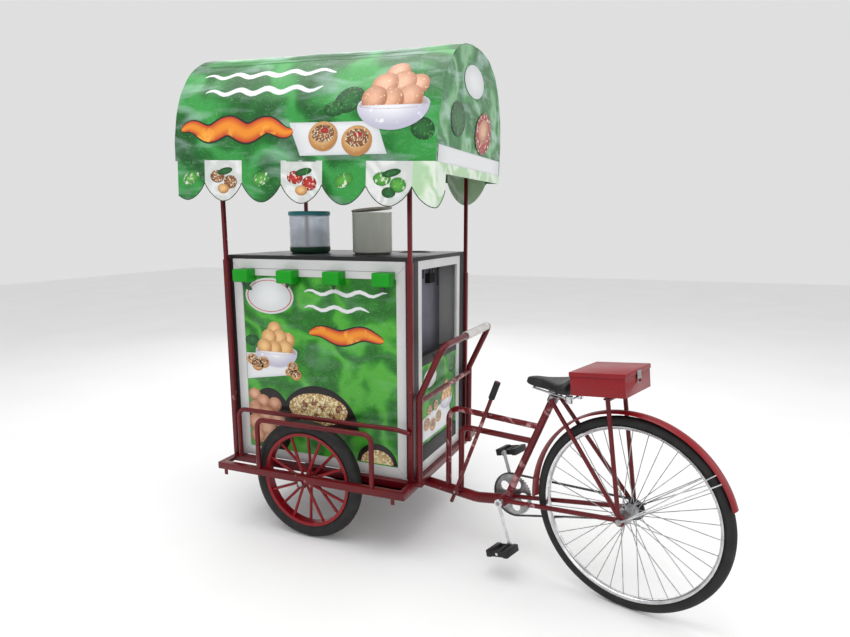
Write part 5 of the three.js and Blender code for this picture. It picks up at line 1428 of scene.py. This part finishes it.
def strip_bottom(run):
    for a, b in zip(cusps, cusps[1:]):
        if run <= b:
            share = (run - a) / (b - a)
            return -VALANCE["cusp"] - (VALANCE["drop"] - VALANCE["cusp"]) * math.sin(math.pi * share) ** 0.72
    return -VALANCE["cusp"]


def strip_spot(run, z, lift):
    """A point on the hanging strip: run along the near edge and round the rear corner, z down, lift outwards."""
    flare = (1.5 + 2.2 * math.sin(run / 31.0) + 1.6 * math.sin(run / 13.0 + 1)) * min(max(-z / 160, 0), 1)
    reach = 404.6 + flare * 0.6 + lift
    if run <= 0:
        return Vector((min(run, 0.6), -reach, z))
    return Vector((0.9 + flare * 0.5 + lift, -404.6 + run, z))


def strip(run0, run1, bottom, place, materials, pick, rows=12, step=6.5):
    columns = max(int(round((run1 - run0) / step)), 4)
    outer, inner, uv = [], [], []
    for r in range(rows + 1):
        outer.append([])
        inner.append([])
        uv.append([])
        for c in range(columns + 1):
            run = run0 + (run1 - run0) * c / columns
            z = VALANCE["top"] + (bottom(run) - VALANCE["top"]) * r / rows
            outer[-1].append(place(run, z, 0.0))
            inner[-1].append(place(run, z, -1.2))
            uv[-1].append((run * MM, z * MM))
    flat_area = sum((VALANCE["top"] - bottom(run0 + (run1 - run0) * (c + 0.5) / columns)) * (run1 - run0) / columns
                    for c in range(columns))
    mesh = two_sided(outer, inner, uv, materials, lambda r, c: pick(run0 + (run1 - run0) * (c + 0.5) / columns))
    deepest = min(bottom(run0 + (run1 - run0) * c / columns) for c in range(columns + 1))
    return mesh, flat_area * 1e-6, (run1 - run0) * MM, (VALANCE["top"] - deepest) * MM


def near_colour(run):
    number = sum(run > cusp for cusp in cusps[1:])
    return (0, 1, 0, 1, 0, 1, 2, 2)[number]


near_strip, area, width, length = strip(VALANCE["start"], VALANCE["wrap"], strip_bottom, strip_spot,
                                        [canopy_print, white_print, pale_print], near_colour)
piece = finished("scallops_near", merged([near_strip], canopy_place), "cart", None, ("canopy_valance",),
                 60)


FAR_SCALLOP = {"start": -258, "end": -63, "hem": 35, "drop": 105}


def far_spot(run, z, lift):
    return Vector((run, 403.4 + lift + 1.2 * math.sin(run / 29.0) * min(max(-z / 120, 0), 1), z))


def far_bottom(run):
    """The far strip is a plain hem but for one scallop near the rear."""
    if FAR_SCALLOP["start"] <= run <= FAR_SCALLOP["end"]:
        share = (run - FAR_SCALLOP["start"]) / VALANCE["pitch"]
        return -FAR_SCALLOP["hem"] - FAR_SCALLOP["drop"] * math.sin(math.pi * share) ** 0.72
    return -FAR_SCALLOP["hem"]


def rear_spot(run, z, lift):
    return Vector((0.9 + lift, run, z))


far_strip, area, width, length = strip(VALANCE["start"], 0, far_bottom, far_spot, [canopy_print, pale_print],
                                       lambda run: 1 if FAR_SCALLOP["start"] < run < FAR_SCALLOP["end"] else 0)
piece = finished("scallops_far", merged([far_strip], canopy_place), "cart", None, ("canopy_valance",),
                 60)
rear_strip, area, width, length = strip(-300, 403, lambda run: -FAR_SCALLOP["hem"], rear_spot, [pale_print],
                                        lambda run: 0, 4)
piece = finished("hem_rear", merged([rear_strip], canopy_place), "cart", None, ("canopy_valance",),
                 60)


def on_strip(u, v, lift):
    return canopy_place @ strip_spot(u, v, lift + 0.3)


shapes = []
for k, (middle, blot) in enumerate(((-970, "filling"), (-580, "chilli"), (-190, "lime"))):
    shapes += [patch(on_strip, middle - 28, -62, 38, 26, 1, blot), patch(on_strip, middle + 40, -84, 34, 28, 1.6, blot),
               patch(on_strip, middle + 2, -112, 30, 20, 2.2, "puff" if blot != "lime" else "leaf"),
               patch(on_strip, middle + 12, -40, 40, 14, 2.6, "leaf", 0, 360, 12)]
for middle in (-1140, -775, -385):
    shapes.append(patch(on_strip, middle, -70, 46, 26, 1, "lime", 0, 360, 20))
finished("scallop_pictures", merged(shapes), "cart", None, (), 40)
hem_line = [strip_spot(run, strip_bottom(run), 0.4) for run in [VALANCE["start"] + 6 * k for k in range(220)]]
finished("scallop_edging", merged([tube(hem_line, 1.7, 0, INK["outline"], 8)], canopy_place), "cart",
         INK["outline"], (), 60)

# ======================================================================================================
# Bicycle frame. A heavy bent beam from the king pin to the bottom bracket, the seat tube, two hooped stays
# over the beam, and thin chain and seat stays to the rear axle; the cash box stands on two struts.
BRACKET_X, BRACKET_Z = 933, 272
AXLE_X, AXLE_Z = 1433.6, 355
SEAT_LUG_X, SEAT_LUG_Z = 1136, 723
BEAM_Z = 237
members = [tube([(0, 0, 205), (0, 0, 258)], 24, 0, red_enamel, 28),
           tube([(0, 0, 258), (0, 0, 320)], 10, 0, bare_steel, 20),
           tube([(0, 0, 301), (0, 0, 314)], 18, 0, bare_steel, 6),
           tube([(0, 0, BEAM_Z), (790, 0, BEAM_Z), (BRACKET_X, 0, 268)], 22, 160, red_enamel, 28),
           tube([(BRACKET_X, -34, BRACKET_Z), (BRACKET_X, 34, BRACKET_Z)], 22, 0, red_enamel, 28),
           tube([(BRACKET_X, 0, BRACKET_Z), (1130, 0, 735)], 14.5, 0, red_filmed, 24),
           tube([(638, 0, BEAM_Z), (638, 0, 602), (1082, 0, 601)], 12, 55, red_filmed, 20),
           tube([(705, 0, BEAM_Z), (705, 0, 529), (1050, 0, 538)], 12, 40, red_enamel, 20),
           tube([(SEAT_LUG_X, -40, SEAT_LUG_Z), (SEAT_LUG_X, 40, SEAT_LUG_Z)], 8, 0, red_enamel, 16),
           tube([(702, -46, 250), (702, -8, 250)], 5, 0, bare_steel, 12)]
for side in (-1, 1):
    members += [tube([(BRACKET_X, side * 28, BRACKET_Z), (AXLE_X, side * 68, AXLE_Z)], 9, 0, red_enamel, 16),
                tube([(SEAT_LUG_X, side * 34, SEAT_LUG_Z), (AXLE_X, side * 68, AXLE_Z)], 8, 0, red_enamel, 16),
                tube([(AXLE_X, side * 61, AXLE_Z), (AXLE_X, side * 80, AXLE_Z)], 18, 0, red_enamel, 24),
                tube([(1427.6, side * 72, AXLE_Z), (1367, side * 72, 776)], 8, 0, red_enamel, 16)]
members.append(block(1355, 1379, -80, 80, 774, 780, red_enamel))
collar = turned([(14.8, 0), (19, 0), (20, 2), (20, 26), (19, 28), (14.8, 28)], 28, bare_steel, "Z")
collar.transform(Matrix.Translation((1119.5, 0, 709)) @ Matrix.Rotation(math.radians(23.05), 4, "Y"))
members.append(collar)
finished("bicycle_frame", merged(members, bike_place), "bicycle", None, ("rear_frame",), 40)

# ======================================================================================================
# Rear wheel. A 28-inch roadster wheel: black tyre, chromed rim, thirty-six crossed spokes, a steel hub and
# an eighteen-tooth sprocket; it turns on a nutted axle under a red mudguard on wire stays.
REAR_WHEEL = {"x": AXLE_X, "z": AXLE_Z, "radius": 355, "section": 19, "rim": 319, "spokes": 36}
rear_place = bike_place @ Matrix.Translation((REAR_WHEEL["x"], 0, REAR_WHEEL["z"]))
carcass = turned(tyre_outline(REAR_WHEEL["radius"], REAR_WHEEL["section"] - 1.4, REAR_WHEEL["rim"], 1.0, 0), 144)
finished("bicycle_tyre", merged([carcass], rear_place), "rear_wheel", tyre_rubber, ("rear_tyre",), 50)
rim = REAR_WHEEL["rim"]
hoop = turned([(rim - 13, 0), (rim - 12, -6), (rim - 6, -12), (rim, -14.5), (rim, -12), (rim - 5, -9), (rim - 9, -4),
               (rim - 9, 4), (rim - 5, 9), (rim, 12), (rim, 14.5), (rim - 6, 12), (rim - 12, 6)], 144, chrome_plate)
hub = turned([(5.6, -40), (12, -40), (12, -36), (26, -35), (26, -29), (13, -25), (13, 25), (26, 29), (26, 35), (14, 37),
              (14, 46), (5.6, 46)], 40, bare_steel)
sprocket = turned([(14, 48), (32, 48), (32, 52), (14, 52)], 54, dark_steel)
tooth = block(31, 36, 48.6, 51.4, -2.2, 2.2)
wheel_parts = [hoop, hub, sprocket, ring_of(tooth, 18, dark_steel)]
for side in (-1, 1):
    for cross in (-1, 1):
        offset = math.radians(10 if side > 0 else 0)
        hub_turn = Matrix.Rotation(math.radians(30 * cross), 4, "Y")
        start = hub_turn @ Vector((24, side * 32, 0))
        reach = Vector(((rim - 11), side * 3, 0))
        spoke = tube([tuple(start), tuple(reach)], 1.6, 0, bare_steel, 6)
        first_spoke = offset + math.radians(10 if cross > 0 else 30)
        wheel_parts.append(ring_of(spoke, REAR_WHEEL["spokes"] // 4, bare_steel, first_spoke))
finished("bicycle_wheel", merged(wheel_parts, rear_place), "rear_wheel", None, ("rear_rim",), 40)
made_solid("rear_axle", "bicycle", bare_steel, 0.6)

MUDGUARD = {"x": 1427.6, "radius": 374, "half": 25, "crown": 7.5, "stay": 366}
guard_outline = []
for k in range(13):
    y = -MUDGUARD["half"] + 2 * MUDGUARD["half"] * k / 12
    guard_outline.append((MUDGUARD["radius"] - MUDGUARD["crown"] * (y / MUDGUARD["half"]) ** 2, y))
guard_outline += [(r - 1.8, y * 0.985) for r, y in reversed(guard_outline)]
blade = turned(guard_outline, 110, red_bright, "Y", 168, 18)
blade.transform(Matrix.Translation((MUDGUARD["x"], 0, AXLE_Z)))
wires = []
for angle in (33, 38):
    for side in (-1, 1):
        far = (MUDGUARD["x"] + MUDGUARD["stay"] * math.cos(math.radians(angle)), side * 24.5,
               AXLE_Z + MUDGUARD["stay"] * math.sin(math.radians(angle)))
        wires.append(tube([(1459.6, side * 85.5, 371), far], 2.4, 0, chrome_plate, 8))
for side in (-1, 1):
    wires.append(tube([(AXLE_X, side * 85.5, AXLE_Z), (1462, side * 85.5, 372)], 5, 0, bare_steel, 10))
finished("mudguard_with_stays", merged([blade, *wires], bike_place), "bicycle", None, ("mudguard",), 50)

# ======================================================================================================
# Drive. A forty-four tooth chainring on the far crank, a bushed chain to the sprocket, straight steel cranks
# and flat rubber-block pedals.
chain_tree = bpy.data.node_groups.new("Links along the chain line", "GeometryNodeTree")
for label, kind in (("Chain line", "NodeSocketGeometry"), ("Pitch", "NodeSocketFloat"),
                    ("Link size", "NodeSocketVector"), ("Finish", "NodeSocketMaterial")):
    chain_tree.interface.new_socket(label, in_out="INPUT", socket_type=kind)
chain_tree.interface.new_socket("Chain", in_out="OUTPUT", socket_type="NodeSocketGeometry")
asked = chain_tree.nodes.new("NodeGroupInput")
line = chain_tree.nodes.new("GeometryNodeMeshToCurve")
spaced = chain_tree.nodes.new("GeometryNodeResampleCurve")
spaced.label = "one point for each link"
spaced.mode = "LENGTH"
heading = chain_tree.nodes.new("GeometryNodeInputTangent")
aimed = chain_tree.nodes.new("FunctionNodeAlignRotationToVector")
aimed.label = "link lies along the line"
aimed.axis = "X"
plate = chain_tree.nodes.new("GeometryNodeMeshCube")
plate.label = "one link"
links = chain_tree.nodes.new("GeometryNodeInstanceOnPoints")
solid = chain_tree.nodes.new("GeometryNodeRealizeInstances")
coated = chain_tree.nodes.new("GeometryNodeSetMaterial")
given = chain_tree.nodes.new("NodeGroupOutput")
chain_tree.links.new(asked.outputs["Chain line"], line.inputs["Mesh"])
chain_tree.links.new(line.outputs["Curve"], spaced.inputs["Curve"])
chain_tree.links.new(asked.outputs["Pitch"], spaced.inputs["Length"])
chain_tree.links.new(heading.outputs["Tangent"], aimed.inputs["Vector"])
chain_tree.links.new(asked.outputs["Link size"], plate.inputs["Size"])
chain_tree.links.new(spaced.outputs["Curve"], links.inputs["Points"])
chain_tree.links.new(plate.outputs["Mesh"], links.inputs["Instance"])
chain_tree.links.new(aimed.outputs["Rotation"], links.inputs["Rotation"])
chain_tree.links.new(links.outputs["Instances"], solid.inputs["Geometry"])
chain_tree.links.new(solid.outputs["Geometry"], coated.inputs["Geometry"])
chain_tree.links.new(asked.outputs["Finish"], coated.inputs["Material"])
chain_tree.links.new(coated.outputs["Geometry"], given.inputs["Chain"])
lay_out(chain_tree, {"spacing": [asked, line, spaced], "aim": [heading, aimed], "links": [plate, links],
                     "result": [solid, coated, given]})

RING, SPROCKET, PITCH = 88.5, 36.5, 12.7
bracket, axle = Vector((BRACKET_X, BRACKET_Z)), Vector((AXLE_X, AXLE_Z))
run = axle - bracket
slope = math.atan2(run.y, run.x)
swing = math.acos((RING - SPROCKET) / run.length)
path = []
for centre, radius, first, last in ((axle, SPROCKET, slope - swing, slope + swing),
                                    (bracket, RING, slope + swing, slope + 2 * math.pi - swing)):
    for k in range(41):
        theta = first + (last - first) * k / 40
        path.append((centre.x + radius * math.cos(theta), 50, centre.y + radius * math.sin(theta)))
chain_line = bpy.data.meshes.new("chain_line")
chain_line.from_pydata(path, [(k, (k + 1) % len(path)) for k in range(len(path))], [])
outer_plates = grown(chain_tree, chain_line, {"Pitch": PITCH, "Link size": (10.6, 6.0, 7.2), "Finish": dark_steel})
side_plates = grown(chain_tree, chain_line, {"Pitch": PITCH / 2, "Link size": (7.0, 3.4, 6.2), "Finish": dark_steel})
finished("roller_chain", merged([outer_plates, side_plates], bike_place), "bicycle", dark_steel, ("chain",),
         30)
made_solid("crank_near", "crankset", chrome_plate, 1.0)
made_solid("crank_far", "crankset", bare_steel, 0.8)
tooth = block(83, 87.5, 48.8, 51.2, -2.4, 2.4)
teeth = ring_of(tooth, 44, chrome_plate)
ring_place = bike_place @ Matrix.Translation((BRACKET_X, 0, BRACKET_Z))
finished("chainring_teeth", merged([teeth], ring_place), "crankset", chrome_plate, (), 30)
for side, label in SIDES:
    made_solid(f"pedal_{label}", f"{label}_pedal", grip_rubber, 1.4)
made_solid("brake_lever", "brake", red_filmed, 1.0)
made_solid("brake_grip", "brake", grip_rubber, 1.6)

# ======================================================================================================
# Saddle. A sprung roadster saddle: black vinyl over foam, crowned and slightly dished, with a rolled edge,
# on two wire rails, a clamp and a pair of coil springs.
saddle_skin = rubber("saddle_skin", (0.012, 0.012, 0.013), 260, 0.44)
STATIONS = [(1018, 6, 776, 789), (1024, 20, 766, 793), (1050, 27, 760, 798), (1100, 38, 758, 800), (1150, 66, 757, 805),
            (1185, 90, 757, 811), (1210, 94, 758, 819), (1223, 80, 762, 817), (1228, 52, 772, 808)]


def eased(values, share):
    """A smooth value between the stations."""
    k = min(int(share), len(values) - 2)
    t = share - k
    p0, p1, p2, p3 = values[max(k - 1, 0)], values[k], values[k + 1], values[min(k + 2, len(values) - 1)]
    smooth = 0.5 * (2 * p1 + (p2 - p0) * t + (2 * p0 - 5 * p1 + 4 * p2 - p3) * t * t
                    + (3 * p1 - p0 - 3 * p2 + p3) * t ** 3)
    return 0.6 * smooth + 0.4 * (p1 + (p2 - p1) * t)


pad = bmesh.new()
loops, seam = [], ([], [])
for i in range(57):
    share = i / 56 * (len(STATIONS) - 1)
    x, half, low, high = (eased([station[n] for station in STATIONS], share) for n in range(4))
    middle = low + 0.42 * (high - low)
    loop = []
    for k in range(48):
        theta = 2 * math.pi * k / 48
        c, s = math.cos(theta), math.sin(theta)
        y = half * math.copysign(abs(c) ** 0.78, c)
        reach = (high - middle) if s > 0 else (middle - low)
        z = middle + reach * math.copysign(abs(s) ** 0.82, s)
        if s > 0 and x > 1060:
            z -= 2.6 * math.exp(-(y / 11) ** 2) * min((x - 1060) / 60, 1)
        loop.append(pad.verts.new((x, y, z)))
    loops.append(loop)
    seam[0].append((x, -half - 0.3, middle - 1))
    seam[1].append((x, half + 0.3, middle - 1))
for a, b in zip(loops, loops[1:]):
    for k in range(48):
        pad.faces.new((a[k], a[(k + 1) % 48], b[(k + 1) % 48], b[k]))
pad.faces.new(loops[0])
pad.faces.new(list(reversed(loops[-1])))
pad_mesh = bpy.data.meshes.new("pad")
pad.to_mesh(pad_mesh)
pad.free()
piping = tube([*seam[0], *reversed(seam[1])], 1.5, 0, saddle_skin, 8)
saddle = finished("saddle_pad", merged([pad_mesh], bike_place), "seat", saddle_skin, ("saddle_cover",),
                  60)
finished("saddle_piping", merged([piping], bike_place), "seat", saddle_skin, (), 60)
made_solid("saddle_frame", "seat", chrome_plate, 0.8)

# ======================================================================================================
# Cash box. A folded sheet-steel box painted bright red, with an overlapping lid on a rear hinge, a staple
# and a zinc hasp.
made_solid("cash_box", "bicycle", red_bright, 1.0)
made_solid("cash_box_lid", "box_lid", red_bright, 1.6)
made_solid("box_hasp", "hasp", bare_steel, 0.5)
